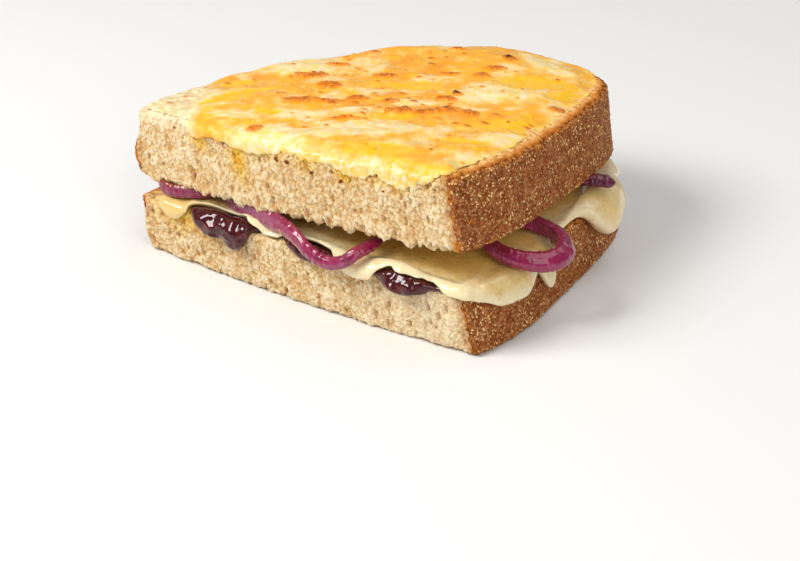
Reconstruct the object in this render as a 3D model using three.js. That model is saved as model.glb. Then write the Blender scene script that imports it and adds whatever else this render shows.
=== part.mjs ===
// Half of a grilled cheese sandwich, cut across the middle of the loaf slice and resting on its lower slice.
// Two thick slices of bread hold red onion chutney, melted cheese and fried red onion, and grilled cheese
// covers the upper slice. Millimetres, +Z up. X runs along the cut face, which looks towards -Y. The origin is
// the middle of the bounding box's base.
import * as THREE from 'three';

// ---- Driving dimensions ----
const CUT_LENGTH = 100; // straight cut, from the loaf's domed top at -X to its base at +X
const HALF_DEPTH = 91; // from the cut to the crust at the back
const CUT_AT = -40; // Y of the cut in the slice's own frame
const CUT_BOW = 2; // how far the cut face bellies out at its middle
const BASE_BULGE = 4.8; // how far the base crust stands out past the cut's end
const BASE_BULGE_AT = 38.7; // distance of that bulge from the cut
const BACK_AT = 25; // X where the back crust runs parallel to the cut
const CORNER_ROUND = 0.7; // rounding where crust meets the cut
const LOWER_THICK = 17; // the lower slice is pressed thinner than the upper one
const UPPER_THICK = 20;
const RIM = 1.2; // rounding of a slice's top and bottom rims
const CLEAR = 0.4; // air between neighbouring pieces
const CHUTNEY_THICK = 0.7;
const CHEESE_THICK = 1.3;
const TOPPING_THICK = 1.3;

// The upper slice lies askew on the filling: raised at the cut's +X end, low at the back.
const UPPER_PLACE = new THREE.Vector3(-3.1, 0.4, 22.9);
const UPPER_TURN = { yaw: -0.84, pitch: -3.6, roll: -3.8 }; // degrees, applied pitch first

// How far each slice's lower face is shifted at the +X end of the cut, because the knife went in slanted, and how
// far its domed end is drawn out at the lower face, at the upper face, and in between.
const LOWER_LEAN = { x: 4.1, y: 1, low: 3, top: 5.2, between: 0.8 };
const UPPER_LEAN = { x: 3.7, y: 0.2, low: 2.2, top: 0.9, between: 2 };
const END_REACH = 35; // length of the domed end that is drawn out

// Numbers of stations along the cut and along the crust.
const CUT_STATIONS = 28;
const CRUST_STATIONS = 38;

const MIDDLE = new THREE.Vector2(2, 4); // pole that every layer's rings close on
const LEFT = -CUT_LENGTH / 2;
const RIGHT = CUT_LENGTH / 2;
const BACK = CUT_AT + HALF_DEPTH;

const smooth = THREE.MathUtils.smoothstep;
const bell = (x, at, width) => Math.exp(-(((x - at) / width) ** 2));

// ---- The slice's outline ----
// Counter-clockwise seen from above: along the cut, up the base crust, round the corner and over the dome.
function sliceEdge() {
  const v = (x, y) => new THREE.Vector2(x, y);
  const cut = new THREE.QuadraticBezierCurve(
    v(LEFT + CORNER_ROUND, CUT_AT), v(0, CUT_AT - 2 * CUT_BOW), v(RIGHT - CORNER_ROUND, CUT_AT));
  const bulge = v(RIGHT + BASE_BULGE, CUT_AT + BASE_BULGE_AT);
  const back = v(BACK_AT, BACK);
  const cornerPull = 0.88; // near 1 is a square corner
  const crust = new THREE.CurvePath();
  crust.add(new THREE.QuadraticBezierCurve(
    v(RIGHT - CORNER_ROUND, CUT_AT), v(RIGHT, CUT_AT), v(RIGHT + 0.3, CUT_AT + CORNER_ROUND)));
  crust.add(new THREE.CubicBezierCurve(
    v(RIGHT + 0.3, CUT_AT + CORNER_ROUND), v(RIGHT + 4.4, CUT_AT + 11), v(bulge.x + 0.5, bulge.y - 16), bulge));
  crust.add(new THREE.CubicBezierCurve(
    bulge, v(bulge.x, THREE.MathUtils.lerp(bulge.y, back.y, cornerPull)),
    v(THREE.MathUtils.lerp(back.x, bulge.x, cornerPull), back.y), back));
  crust.add(new THREE.CubicBezierCurve(
    back, v(back.x - 33.8, back.y), v(LEFT - 2, CUT_AT + 47), v(LEFT, CUT_AT + CORNER_ROUND)));
  crust.add(new THREE.QuadraticBezierCurve(
    v(LEFT, CUT_AT + CORNER_ROUND), v(LEFT, CUT_AT), v(LEFT + CORNER_ROUND, CUT_AT)));
  const points = [
    ...cut.getSpacedPoints(CUT_STATIONS).slice(0, -1), ...crust.getSpacedPoints(CRUST_STATIONS).slice(0, -1)];
  let along = 0;
  return points.map((p, i) => {
    const before = points.at(i - 1);
    const after = points[(i + 1) % points.length];
    const tangent = after.clone().sub(before).normalize();
    if (i > 0) along += p.distanceTo(points[i - 1]);
    return {
      p,
      out: new THREE.Vector2(tangent.y, -tangent.x),
      along, // millimetres round the edge from the dome end of the cut
      reach: p.distanceTo(MIDDLE),
      crumb: i < CUT_STATIONS, // on the cut, where the crumb shows
    };
  });
}
const EDGE = sliceEdge();
const ROUND = EDGE.at(-1).along + EDGE.at(-1).p.distanceTo(EDGE[0].p); // length of the whole edge
const lobe = (along, at, width) => { // a bell that carries on past the start of the edge
  const apart = Math.abs(along - at);
  return bell(Math.min(apart, ROUND - apart), 0, width);
};

// A point over a slice's skin. w is the way from the rim, inwards if negative and down the side if positive,
// and lift is the height above the skin. Layers with rising lifts at each w can't meet.
function overSkin(station, w, lift, thick) {
  const turn = THREE.MathUtils.clamp((w + RIM) / (RIM + CLEAR), 0, Math.PI / 2);
  const drop = Math.max(0, w + RIM - (RIM + CLEAR) * Math.PI / 2);
  const out = w <= -RIM ? w : -RIM + (RIM + lift) * Math.sin(turn);
  const z = w <= -RIM ? thick + lift : thick - RIM + (RIM + lift) * Math.cos(turn) - drop;
  const p = out < 0
    ? MIDDLE.clone().lerp(station.p, 1 + out / station.reach)
    : station.p.clone().addScaledVector(station.out, out);
  return new THREE.Vector3(p.x, p.y, z);
}

// A closed surface from rings that all run the same way round, closed at each end on a pole.
function closedSkin(firstPole, rings, lastPole) {
  const n = rings[0].length;
  const points = [firstPole, ...rings.flat(), lastPole];
  const at = (ring, i) => 1 + ring * n + (i % n);
  const faces = [];
  for (let i = 0; i < n; i++) {
    faces.push(0, at(0, i + 1), at(0, i));
    for (let r = 0; r + 1 < rings.length; r++) {
      faces.push(at(r, i), at(r, i + 1), at(r + 1, i + 1), at(r, i), at(r + 1, i + 1), at(r + 1, i));
    }
    faces.push(points.length - 1, at(rings.length - 1, i), at(rings.length - 1, i + 1));
  }
  const geometry = new THREE.BufferGeometry().setFromPoints(points);
  geometry.setIndex(faces);
  geometry.computeVertexNormals();
  return geometry;
}

// The slant of a slice and of all that lies on it, growing towards the +X end of the cut, and the drawn-out end.
function leanOver(geometry, lean, thick) {
  const place = geometry.getAttribute('position');
  for (let i = 0; i < place.count; i++) {
    const [x, y, z] = [place.getX(i), place.getY(i), place.getZ(i)];
    const high = z / thick;
    const share = ((x - LEFT) / CUT_LENGTH) * (1 - high) * (1 - 0.35 * smooth(y, CUT_AT, 30));
    const endShare = THREE.MathUtils.clamp((LEFT + END_REACH - x) / END_REACH, 0, 1.1) ** 2;
    const drawn = THREE.MathUtils.lerp(lean.low, lean.top, THREE.MathUtils.clamp(high, 0, 1))
      + lean.between * bell(high, 0.33, 0.22);
    place.setXYZ(i, x + lean.x * share - drawn * endShare, y + lean.y * share, z);
  }
  return geometry;
}

// ---- Bread ----
// Crumb pits and torn edges: how far the cut face is sunk in, from 0 to about 1.
function crumbPit(along, z) {
  const waves = Math.sin(along * 1.31 + 2 * Math.sin(z * 0.5)) * Math.sin(z * 1.13 + along * 0.37)
    + 0.6 * Math.sin(along * 0.53 + z * 0.71);
  return THREE.MathUtils.clamp(0.45 + 0.42 * waves, 0, 1);
}

function breadSlice(thick, seed, tearDown) {
  const pitDepth = 1.1; // deepest pit in the cut face
  const inside = [0.4, 0.75]; // rings on the flat faces, as shares of the way out
  const ring = (share, z) => EDGE.map((e) => {
    const p = MIDDLE.clone().lerp(e.p, share);
    return new THREE.Vector3(p.x, p.y, z);
  });
  const side = (out, z) => EDGE.map((e) => {
    const edgeFade = smooth(z, 0, 3) * (1 - smooth(z, thick - 3, thick)) * 0.7 + 0.3;
    const crumbSunk = 0.25 + pitDepth * edgeFade * crumbPit(e.along + seed, z);
    const crustSunk = 0.25 * crumbPit(e.along * 0.4 + seed, z);
    const p = e.p.clone().addScaledVector(e.out, out - (e.crumb ? crumbSunk : crustSunk));
    const tear = e.crumb && z < RIM ? tearDown * crumbPit(e.along * 1.7 + seed, 4) : 0;
    return new THREE.Vector3(p.x, p.y, z + tear);
  });
  const pole = (z) => new THREE.Vector3(MIDDLE.x, MIDDLE.y, z);
  const blunt = 1.3 * RIM; // a little rounder than the skin that the layers follow, which keeps them clear
  const bevel = blunt * (1 - Math.SQRT1_2);
  const middleRows = 4;
  const rings = [ring(inside[0], 0), ring(inside[1], 0), side(-blunt, 0), side(-bevel, bevel)];
  for (let row = 0; row <= middleRows; row++) {
    rings.push(side(0, THREE.MathUtils.lerp(blunt, thick - blunt, row / middleRows)));
  }
  rings.push(side(-bevel, thick - bevel), side(-blunt, thick), ring(inside[1], thick), ring(inside[0], thick));
  return closedSkin(pole(0), rings, pole(thick));
}

// ---- Melted layers ----
// A layer lies on a slice's skin out to w = reach(station). It is thick(x, y, station, w) thick with a round
// edge, and its underside is under(x, y, station, w) above the skin.
const HALF_TURN = -RIM + (RIM + CLEAR) * (Math.PI / 4); // w half-way round the rim
const FULL_TURN = -RIM + (RIM + CLEAR) * (Math.PI / 2); // w where the skin starts down the side
function meltedLayer({ slice, reach, thick, under, edgeRound }) {
  const between = THREE.MathUtils.lerp;
  const flatEnd = (e) => Math.min(-RIM, reach(e) - edgeRound);
  const firstTurn = (e) => Math.min(HALF_TURN, between(flatEnd(e), reach(e), 0.3));
  const bead = (part) => (e) => reach(e) - part * edgeRound;
  const flat = [0.3, 0.58, 0.8, 0.92].map((share) => (e) => between(-e.reach, flatEnd(e), share));
  const lowTurn = (e) => Math.min(FULL_TURN, between(flatEnd(e), reach(e), 0.6));
  const highTurn = (e) => Math.min(FULL_TURN, between(firstTurn(e), bead(0.5)(e), 0.5));
  const below = [...flat, flatEnd, firstTurn, lowTurn, reach];
  const above = [bead(0.12), bead(0.5), highTurn, firstTurn, flatEnd, ...flat.reverse()];
  const point = (e, w, full) => {
    const place = overSkin(e, Math.min(w, -RIM), 0, slice);
    const low = under(place.x, place.y, e, w);
    const toEdge = THREE.MathUtils.clamp((reach(e) - w) / edgeRound, 0, 1);
    const taper = Math.sqrt(1 - (1 - toEdge) ** 2);
    return overSkin(e, w, low + (full ? taper * thick(place.x, place.y, e, w) : 0), slice);
  };
  const pole = (full) => {
    const low = under(MIDDLE.x, MIDDLE.y, EDGE[0], -EDGE[0].reach);
    const high = full ? thick(MIDDLE.x, MIDDLE.y, EDGE[0], -EDGE[0].reach) : 0;
    return new THREE.Vector3(MIDDLE.x, MIDDLE.y, slice + low + high);
  };
  const rings = [
    ...below.map((way) => EDGE.map((e) => point(e, way(e), false))),
    ...above.map((way) => EDGE.map((e) => point(e, way(e), true)))];
  return closedSkin(pole(false), rings, pole(true));
}

// Red onion chutney: a thin layer with three lumps pushed out over the cut, and none near the crust.
const CHUTNEY_LUMPS = [
  { at: 25, width: 9.5, down: 7, thick: 3 },
  { at: 53, width: 6.5, down: 2, thick: 0.8 },
  { at: 83, width: 6.5, down: 3, thick: 2 },
];
const chutneyReach = (e) => {
  const crustWay = smooth(e.along, CUT_LENGTH - 6, CUT_LENGTH + 30); // 0 on the cut, 1 along the crust
  const base = THREE.MathUtils.lerp(-0.5 - 10 * lobe(e.along, 0, 12), -15, crustWay);
  return CHUTNEY_LUMPS.reduce((sum, l) => sum + (l.down + 0.5) * lobe(e.along, l.at, l.width), base);
};
const chutneyUnder = (x, y, e, w) => CLEAR + 0.7 * smooth(w, -RIM, 0); // stands off the torn crumb of the cut
const chutneyThick = (x, y, e, w) => CHUTNEY_LUMPS.reduce(
  (sum, l) => sum + l.thick * lobe(e.along, l.at, l.width) * smooth(w, -5, 0), CHUTNEY_THICK);

// Melted cheese: hangs over the cut in shallow lobes, round the +X corner, and in a thick lump further back.
const CHEESE_LOBES = [
  { at: 10, width: 5.3, down: 3.4 }, { at: 69, width: 6, down: 2.8 }, { at: 97, width: 5, down: 0.6 },
  { at: 112, width: 9, down: 5.4 }, { at: 121, width: 5, down: 3 }, { at: 130, width: 4.5, down: 7 },
  { at: 147, width: 8, down: 1.6 }, { at: 160, width: 6, down: 6 }, { at: 170, width: 6, down: 3.6 }, { at: 188, width: 8, down: 2 },
  { at: 210, width: 8, down: 2.5 }, { at: 238, width: 10, down: 2 }, { at: 292, width: 9, down: 1.8 },
];
const CHEESE_LUMP = { at: 163, width: 12, w: 3, spread: 8, thick: 4.2 };
const CHEESE_INSET = 1;
const cheeseReach = (e) => CHEESE_LOBES.reduce(
  (sum, l) => sum + (l.down + CHEESE_INSET) * lobe(e.along, l.at, l.width), -CHEESE_INSET)
  // drawn back from the domed end and over the chutney lumps
  - 3 * lobe(e.along, 0, 4) - 2.2 * lobe(e.along, 25, 6) - lobe(e.along, 53, 5);
const cheeseUnder = (x, y, e, w) => {
  const stepDown = THREE.MathUtils.lerp(2, 12, smooth(-chutneyReach(e), 3, 15)); // steep only next to the lumps
  const overChutney = THREE.MathUtils.clamp((chutneyReach(e) + stepDown + 0.5 - w) / stepDown, 0, 1);
  const chutney = chutneyThick(x, y, e, w);
  return CLEAR + overChutney * (chutneyUnder(x, y, e, w) + chutney + 0.6 + 0.4 * (chutney - CHUTNEY_THICK));
};
const cheeseThick = (x, y, e, w) => CHEESE_THICK + 0.2 * Math.sin(x * 0.21 + 1) * Math.sin(y * 0.17)
  + 0.5 * smooth(w, -4, 1) + CHEESE_LUMP.thick * lobe(e.along, CHEESE_LUMP.at, CHEESE_LUMP.width)
  * bell(w, CHEESE_LUMP.w, CHEESE_LUMP.spread);

// Grilled cheese on the upper slice: mounded at the back, inset from the crust, in lobes over the cut.
const TOPPING_LOBES = [
  { at: 22, width: 4.5, down: 2.2 }, { at: 40, width: 8, down: 2.8 }, { at: 57, width: 6, down: 1.6 },
  { at: 71, width: 5.5, down: 2.8 }, { at: 85, width: 5, down: 3.8 },
];
const TOPPING_MOUNDS = [ // x, y, radius, height
  [-14, 34, 15, 2.2], [14, 38, 16, 2.4], [-32, 6, 9, 1.1], [30, 14, 13, 0.8],
  [2, 8, 14, 0.7], [-20, -22, 11, 0.8], [26, -26, 13, 0.5],
];
const toppingReach = (e) => {
  const onCut = smooth(e.along, 10, 20) * (1 - smooth(e.along, CUT_LENGTH - 8, CUT_LENGTH - 1));
  return TOPPING_LOBES.reduce((sum, l) => sum + l.down * lobe(e.along, l.at, l.width), -2.2 + 4 * onCut)
    + 1.4 * lobe(e.along, 215, 28) + 0.9 * lobe(e.along, 275, 14);
};
const toppingThick = (x, y, e, w) => {
  const thinEnd = 1 - 0.6 * (1 - smooth(x, LEFT + 12, LEFT + 24));
  const mounds = TOPPING_MOUNDS.reduce(
    (sum, [atX, atY, radius, high]) => sum + high * bell(Math.hypot(x - atX, y - atY), 0, radius), 0);
  return (TOPPING_THICK + mounds) * thinEnd * (1 - 0.35 * smooth(w, -2, 2));
};

// ---- Onion ----
// A strip of onion swept along a path of points. It is wide across the path and tall along its upright, flatter
// towards both ends, where it runs in under the upper slice, and the ends are rounded off.
function onionStrip({ path, wide, tall, steps, sides }) {
  const curve = new THREE.CatmullRomCurve3(path, false, 'centripetal');
  const rings = [];
  for (let i = 0; i <= steps; i++) {
    const t = i / steps;
    const middle = curve.getPointAt(t);
    const tangent = curve.getTangentAt(t);
    const across = new THREE.Vector3().crossVectors(tangent, new THREE.Vector3(0, 0, 1)).normalize();
    const upright = new THREE.Vector3().crossVectors(across, tangent);
    const high = tall * (0.68 + 0.32 * Math.sin(Math.PI * t));
    const end = Math.sin(Math.PI * THREE.MathUtils.clamp(Math.min(t, 1 - t) * 8, 0.06, 0.5));
    rings.push(Array.from({ length: sides }, (_, k) => {
      const angle = (2 * Math.PI * k) / sides;
      const box = (value) => Math.sign(value) * Math.abs(value) ** 0.7; // squarer than an ellipse
      return middle.clone()
        .addScaledVector(across, (end * wide * box(Math.cos(angle))) / 2)
        .addScaledVector(upright, (-end * high * box(Math.sin(angle))) / 2);
    }));
  }
  return closedSkin(curve.getPointAt(0), rings, curve.getPointAt(1));
}

// A point over the melted cheese near the cut: x along the cut, w as for the skin, height over the cheese.
function overCheese([x, w, above]) {
  const station = EDGE.slice(0, CUT_STATIONS)
    .reduce((best, e) => (Math.abs(e.p.x - x) < Math.abs(best.p.x - x) ? e : best));
  const cheeseTop = cheeseUnder(x, station.p.y, station, w) + cheeseThick(x, station.p.y, station, w);
  const point = overSkin(station, w, cheeseTop + above, LOWER_THICK);
  return new THREE.Vector3(x, point.y, point.z);
}

const LEFT_ONION = {
  path: [[-42, -10, 1.1], [-45.6, -6.5, 1], [-44.6, -3.2, 1], [-40.5, -1.8, 1.1], [-36.5, -3.6, 1.1],
    [-34, -8, 1.1]].map(overCheese),
  wide: 2.2, tall: 1.6, steps: 16, sides: 8,
};
const FRONT_ONION = {
  path: [
    ...[[-29, -8, 1.6], [-22, -6.5, 1.75], [-14, -4.6, 1.75], [-7, -1.8, 1.8]].map(overCheese),
    ...[[-1.5, -43.6, 22.8], [3, -45.8, 22], [6.3, -46.7, 20.6], [9.6, -46.9, 19.4], [13.4, -46.9, 18.8],
      [17, -46.6, 19.8], [19.7, -45.6, 21.4], [21.5, -43.6, 23.2], [22.5, -40.5, 23.8],
      [22.5, -34, 23.4]].map((p) => new THREE.Vector3(...p))],
  wide: 2.4, tall: 3.4, steps: 36, sides: 8,
};
const RING = { x: 53.7, y: -13, z: 22.3, across: 21.6, along: 19, droop: 0.13, open: 156, points: 15 };
const RING_ONION = {
  path: Array.from({ length: RING.points }, (_, i) => { // from -open to +open degrees, with 0 towards +X
    const angle = THREE.MathUtils.degToRad(RING.open * ((2 * i) / (RING.points - 1) - 1));
    const x = (Math.cos(angle) * RING.across) / 2;
    return new THREE.Vector3(RING.x + x, RING.y + (Math.sin(angle) * RING.along) / 2, RING.z - RING.droop * x);
  }),
  wide: 3.4, tall: 4.6, steps: 32, sides: 8,
};
const BACK_ONION = {
  path: [[49, 19, 23.4], [52.5, 20.6, 23.6], [55.5, 22, 23.6], [58.6, 23.4, 23.2]]
    .map((p) => new THREE.Vector3(...p)),
  wide: 2.8, tall: 1.5, steps: 10, sides: 8,
};

// ---- Colours and assembly ----
const finish = (color, roughness) => new THREE.MeshStandardMaterial({ color, roughness, metalness: 0 });
const BREAD = finish(0xdcbc8c, 0.9);
const CHUTNEY = finish(0x3a0c12, 0.15);
const CHEESE = finish(0xead59c, 0.35);
const ONION = finish(0x9c3a78, 0.3);
const TOPPING = finish(0xf9c766, 0.3);

function piece(name, geometry, material) {
  const mesh = new THREE.Mesh(geometry, material);
  mesh.name = name;
  return mesh;
}
const lower = new THREE.Group();
const onLower = (name, geometry, material) => lower.add(
  piece(name, leanOver(geometry, LOWER_LEAN, LOWER_THICK), material));
onLower('bread_bottom', breadSlice(LOWER_THICK, 0, 0.7), BREAD);
onLower('chutney', meltedLayer({
  slice: LOWER_THICK, reach: chutneyReach, thick: chutneyThick, under: chutneyUnder, edgeRound: 2.5,
}), CHUTNEY);
onLower('cheese_filling', meltedLayer({
  slice: LOWER_THICK, reach: cheeseReach, thick: cheeseThick, under: cheeseUnder, edgeRound: 2.2,
}), CHEESE);
onLower('onion_left', onionStrip(LEFT_ONION), ONION);
onLower('onion_front', onionStrip(FRONT_ONION), ONION);
onLower('onion_ring', onionStrip(RING_ONION), ONION);
onLower('onion_back', onionStrip(BACK_ONION), ONION);

const upper = new THREE.Group();
const onUpper = (name, geometry, material) => upper.add(
  piece(name, leanOver(geometry, UPPER_LEAN, UPPER_THICK), material));
onUpper('bread_top', breadSlice(UPPER_THICK, 31, -0.6), BREAD);
onUpper('cheese_topping', meltedLayer({
  slice: UPPER_THICK, reach: toppingReach, thick: toppingThick, under: () => CLEAR, edgeRound: 2,
}), TOPPING);
upper.position.copy(UPPER_PLACE);
const { pitch, roll, yaw } = UPPER_TURN;
upper.rotation.set(...[pitch, roll, yaw].map(THREE.MathUtils.degToRad), 'ZYX');

const sandwich = new THREE.Group();
sandwich.add(lower, upper);
sandwich.updateMatrixWorld(true);
const size = new THREE.Box3().setFromObject(sandwich, true);
sandwich.position.set(-(size.min.x + size.max.x) / 2, -(size.min.y + size.max.y) / 2, -size.min.z);
export default sandwich;
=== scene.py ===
import itertools
import math
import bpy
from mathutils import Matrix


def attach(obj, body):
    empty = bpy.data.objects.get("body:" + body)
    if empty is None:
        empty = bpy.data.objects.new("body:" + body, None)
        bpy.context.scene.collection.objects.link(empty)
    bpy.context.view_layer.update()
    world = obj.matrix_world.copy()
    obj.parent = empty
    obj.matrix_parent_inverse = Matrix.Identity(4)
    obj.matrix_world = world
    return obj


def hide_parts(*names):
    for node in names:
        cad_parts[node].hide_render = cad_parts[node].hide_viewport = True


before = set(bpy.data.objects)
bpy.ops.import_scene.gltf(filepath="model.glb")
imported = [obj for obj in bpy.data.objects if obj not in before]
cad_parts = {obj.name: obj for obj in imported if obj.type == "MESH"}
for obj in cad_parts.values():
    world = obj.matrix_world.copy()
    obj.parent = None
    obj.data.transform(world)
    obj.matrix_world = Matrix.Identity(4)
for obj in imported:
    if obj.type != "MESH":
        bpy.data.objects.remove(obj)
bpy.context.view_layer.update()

from types import SimpleNamespace

import bpy
import numpy as np
from mathutils import Vector

print("frame loaded:", ", ".join(sorted(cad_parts)))

# Half of a grilled cheese sandwich. Shapes are worked out in millimetres in the lower slice's own frame,
# where x runs along the cut, -y is the way the cut looks and z is up, and go into the meshes in metres in
# the row's frame.

loaf = dict(
    cut=100.0,            # length of the cut
    depth=91.0,           # from the cut to the crust at the back
    cutAt=-40.0,          # y of the cut
    bow=2.0,              # how far the cut bellies out at its middle
    bulge=4.8,            # how far the base crust stands out past the cut's end
    bulgeAt=38.7,         # and how far from the cut it does so
    bulgeFrom=(4.4, 11.0), bulgeTo=(0.5, 16.0),   # corners that draw the crust's line towards the bulge
    backAt=25.0,          # x where the back crust runs parallel to the cut
    domeFrom=33.8, domeTo=(2.0, 47.0),            # corners that draw the dome's line back to the cut
    cornerRound=0.7,      # rounding where crust meets the cut
    cornerOut=0.3,        # how far that corner stands out
    cornerPull=0.88,      # near 1 is a square back corner
    rim=1.2,              # rounding of a slice's rims
    clear=0.4,            # air under a layer in the solid model, which the layers' rims turn with
    middle=(2.0, 4.0),    # where every layer's rings close
    endFrom=-15.0, endLong=35.0,      # x where the domed end starts to be drawn out, and over how many mm
    endWaist=0.33, endSpread=0.22,    # height and spread of its third share, as shares of the thickness
    shift=(-3.772, -2.286, 0.0),      # from the lower slice's own frame to the row's frame
)
# lean: shift of the lower face at the cut's +x end; end: how far the domed end is drawn out at the lower
# face, at the upper face, and in between; onLeft: from which height to which the crust shows on the cut
# at the domed end, and how much of it; soak: x, depth from the top, half width and strength of the
# buttery places on the cut
lowerSlice = dict(
    name="breadBottom", node="bread_bottom", seed=3, onFloor=True,
    thick=17.0, lean=(4.1, 1.0), end=(3.0, 5.2, 0.8), onLeft=(12, 17, 0.9),
    soak=[(-38, 8.5, 8, 0.85), (33, 2.5, 7, 0.4)],
)
upperSlice = dict(
    name="breadTop", node="bread_top", seed=41, onFloor=False,
    thick=20.0, lean=(3.7, 0.2), end=(2.2, 0.9, 2.0), onLeft=(2, 10, 0.7),
    place=(-3.1, 0.4, 22.9), turn=(-3.6, -3.8, -0.84),
    soak=[(-28.5, 10, 3, 1.0), (-15.2, 17, 2.8, 1.0), (-10, 8.5, 4, 0.6), (-2, 8, 3, 0.6),
          (7, 8.5, 4, 0.7), (19, 10, 3.5, 1.0), (31, 8, 6, 0.8), (41, 5, 4, 0.5)],
)


def smooth(x, low, high):
    # 0 below low and 1 above high, with 3t^2 - 2t^3 between them; high may be the smaller
    t = np.clip((x - low) / (high - low), 0, 1)
    return t * t * (3 - 2 * t)


def mix(a, b, share):
    # a where share is 0, b where it is 1
    return a + (b - a) * share


def cellShare(cell, seed):
    # a fixed share from 0 to 1 for each whole-numbered cell: its numbers times large primes, stirred by
    # shifts
    n = np.int64(seed * 40503 + 977)
    for axis, prime in enumerate((73856093, 19349663, 83492791)):
        n = n ^ cell[..., axis] * prime
    for shift, prime in ((15, 2246822519), (13, 3266489917)):
        n = (n ^ (n >> shift)) * prime & 0xffffffff
    return ((n ^ (n >> 16)) & 0xffffff) / 0xffffff


def valueNoise(p, size, seed):
    # shares drawn at the corners of cubes of the given size, blended across each cube by 6t^5 - 15t^4 +
    # 10t^3, -1 to 1
    q = p / size
    cell = np.floor(q).astype(np.int64)
    t = q - cell
    t = t * t * t * (t * (t * 6 - 15) + 10)
    total = 0
    for corner in itertools.product((0, 1), repeat=3):
        weight = np.prod(np.where(corner, t, 1 - t), axis=-1)
        total = total + weight * cellShare(cell + corner, seed)
    return total * 2 - 1


def layeredNoise(p, size, seed, layers=3):
    # noise of halving size and halving weight, about -1 to 1
    weights = [0.5 ** k for k in range(layers)]
    parts = [w * valueNoise(p + 17.3 * k, size * w, seed + k) for k, w in enumerate(weights)]
    return sum(parts) / sum(weights)


def nearestCells(p, size, seed):
    # one point lies at random in each cube: distance to the nearest in cube sizes, and that one's fixed
    # share
    q = p / size
    base = np.floor(q).astype(np.int64)
    near = np.full(q.shape[:-1], 9.0)
    share = np.zeros(q.shape[:-1])
    for step in itertools.product((-1, 0, 1), repeat=3):
        cell = base + step
        spot = cell + np.stack([cellShare(cell, seed + k) for k in (1, 2, 3)], axis=-1)
        away = np.linalg.norm(q - spot, axis=-1)
        closer = away < near
        share = np.where(closer, cellShare(cell, seed), share)
        near = np.where(closer, away, near)
    return near, share


def pits(p, size, seed, drawn, radius):
    # 0 outside and 1 at the middle of round pits: the drawn share of the cells has one, of up to that
    # radius
    near, share = nearestCells(p, size, seed)
    pitRadius = radius * (0.45 + 0.55 * share / drawn)
    return np.where(share < drawn, smooth(near, pitRadius, pitRadius * 0.25), 0)


def spotNear(x, y, spots, wobble=0):
    # for ellipses (x, y, half length, half width, turn in degrees): 1 at a middle, 0 on the rim and below
    # 0 outside
    total = np.full(x.shape, -9.0)
    for atX, atY, halfLong, halfWide, turn in spots:
        c, s = math.cos(math.radians(turn)), math.sin(math.radians(turn))
        u = ((x - atX) * c + (y - atY) * s) / halfLong
        v = ((y - atY) * c - (x - atX) * s) / halfWide
        total = np.maximum(total, 1 - np.hypot(u, v))
    return total - wobble


def bezier(corners, steps=600):
    # each corner weighs its binomial share of t and 1 - t
    t = np.linspace(0, 1, steps)[:, None]
    n = len(corners) - 1
    return sum(math.comb(n, i) * (1 - t) ** (n - i) * t ** i * np.array(c) for i, c in enumerate(corners))


def lengthPassed(path):
    # at each point of a path, the sum of the steps up to it
    return np.concatenate([[0], np.cumsum(np.linalg.norm(np.diff(path, axis=0), axis=1))])


def placesAlong(path, passed, lengths):
    # places at these lengths along a path, straight between its points
    return np.stack([np.interp(lengths, passed, column) for column in path.T], axis=-1)


def edgePath():
    # counter-clockwise from the domed end of the cut: along the cut, up the base crust, round the corner,
    # over the dome; gives the joined curves and how many points of them lie on the cut
    left, right, cutAt = -loaf["cut"] / 2, loaf["cut"] / 2, loaf["cutAt"]
    back, cornerRound = cutAt + loaf["depth"], loaf["cornerRound"]
    (fromX, fromY), (toX, toY), (domeX, domeY) = loaf["bulgeFrom"], loaf["bulgeTo"], loaf["domeTo"]
    bulge = (right + loaf["bulge"], cutAt + loaf["bulgeAt"])
    corner, backEnd = (right + loaf["cornerOut"], cutAt + cornerRound), (loaf["backAt"], back)
    cut = bezier([(left + cornerRound, cutAt), (0, cutAt - 2 * loaf["bow"]),
                  (right - cornerRound, cutAt)])
    crustLines = [
        [(right - cornerRound, cutAt), (right, cutAt), corner],
        [corner, (right + fromX, cutAt + fromY), (bulge[0] + toX, bulge[1] - toY), bulge],
        [bulge, (bulge[0], mix(bulge[1], back, loaf["cornerPull"])),
         (mix(loaf["backAt"], bulge[0], loaf["cornerPull"]), back), backEnd],
        [backEnd, (loaf["backAt"] - loaf["domeFrom"], back), (left - domeX, cutAt + domeY),
         (left, cutAt + cornerRound)],
        [(left, cutAt + cornerRound), (left, cutAt), (left + cornerRound, cutAt)],
    ]
    return np.concatenate([cut] + [bezier(line)[1:] for line in crustLines]), len(cut)


rimPath, cutPoints = edgePath()
rimPassed = lengthPassed(rimPath)
cutLength, wholeLength = rimPassed[cutPoints - 1], rimPassed[-1]


def edgeAt(along):
    # places on the edge at these lengths along it, with the way outwards and the distance from the crust,
    # which is above 0 on the cut and below 0 round the crust
    def at(lengths):
        return placesAlong(rimPath, rimPassed, lengths % wholeLength)
    tangent = at(along + 0.4) - at(along - 0.4)
    tangent /= np.linalg.norm(tangent, axis=1, keepdims=True)
    p, along = at(along), along % wholeLength
    return dict(
        p=p, along=along, out=np.stack([tangent[:, 1], -tangent[:, 0]], axis=-1),
        reach=np.linalg.norm(p - np.array(loaf["middle"]), axis=1),
        fromCrust=np.where(along < cutLength, np.minimum(along, cutLength - along),
                           -np.minimum(along - cutLength, wholeLength - along)))


def sliceEdge(cutColumns, crustColumns):
    # the whole edge in equal lengths, of one size on the cut and of another on the crust
    return edgeAt(np.concatenate([
        np.linspace(0, cutLength, cutColumns, endpoint=False),
        np.linspace(cutLength, wholeLength, crustColumns, endpoint=False)]))


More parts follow.
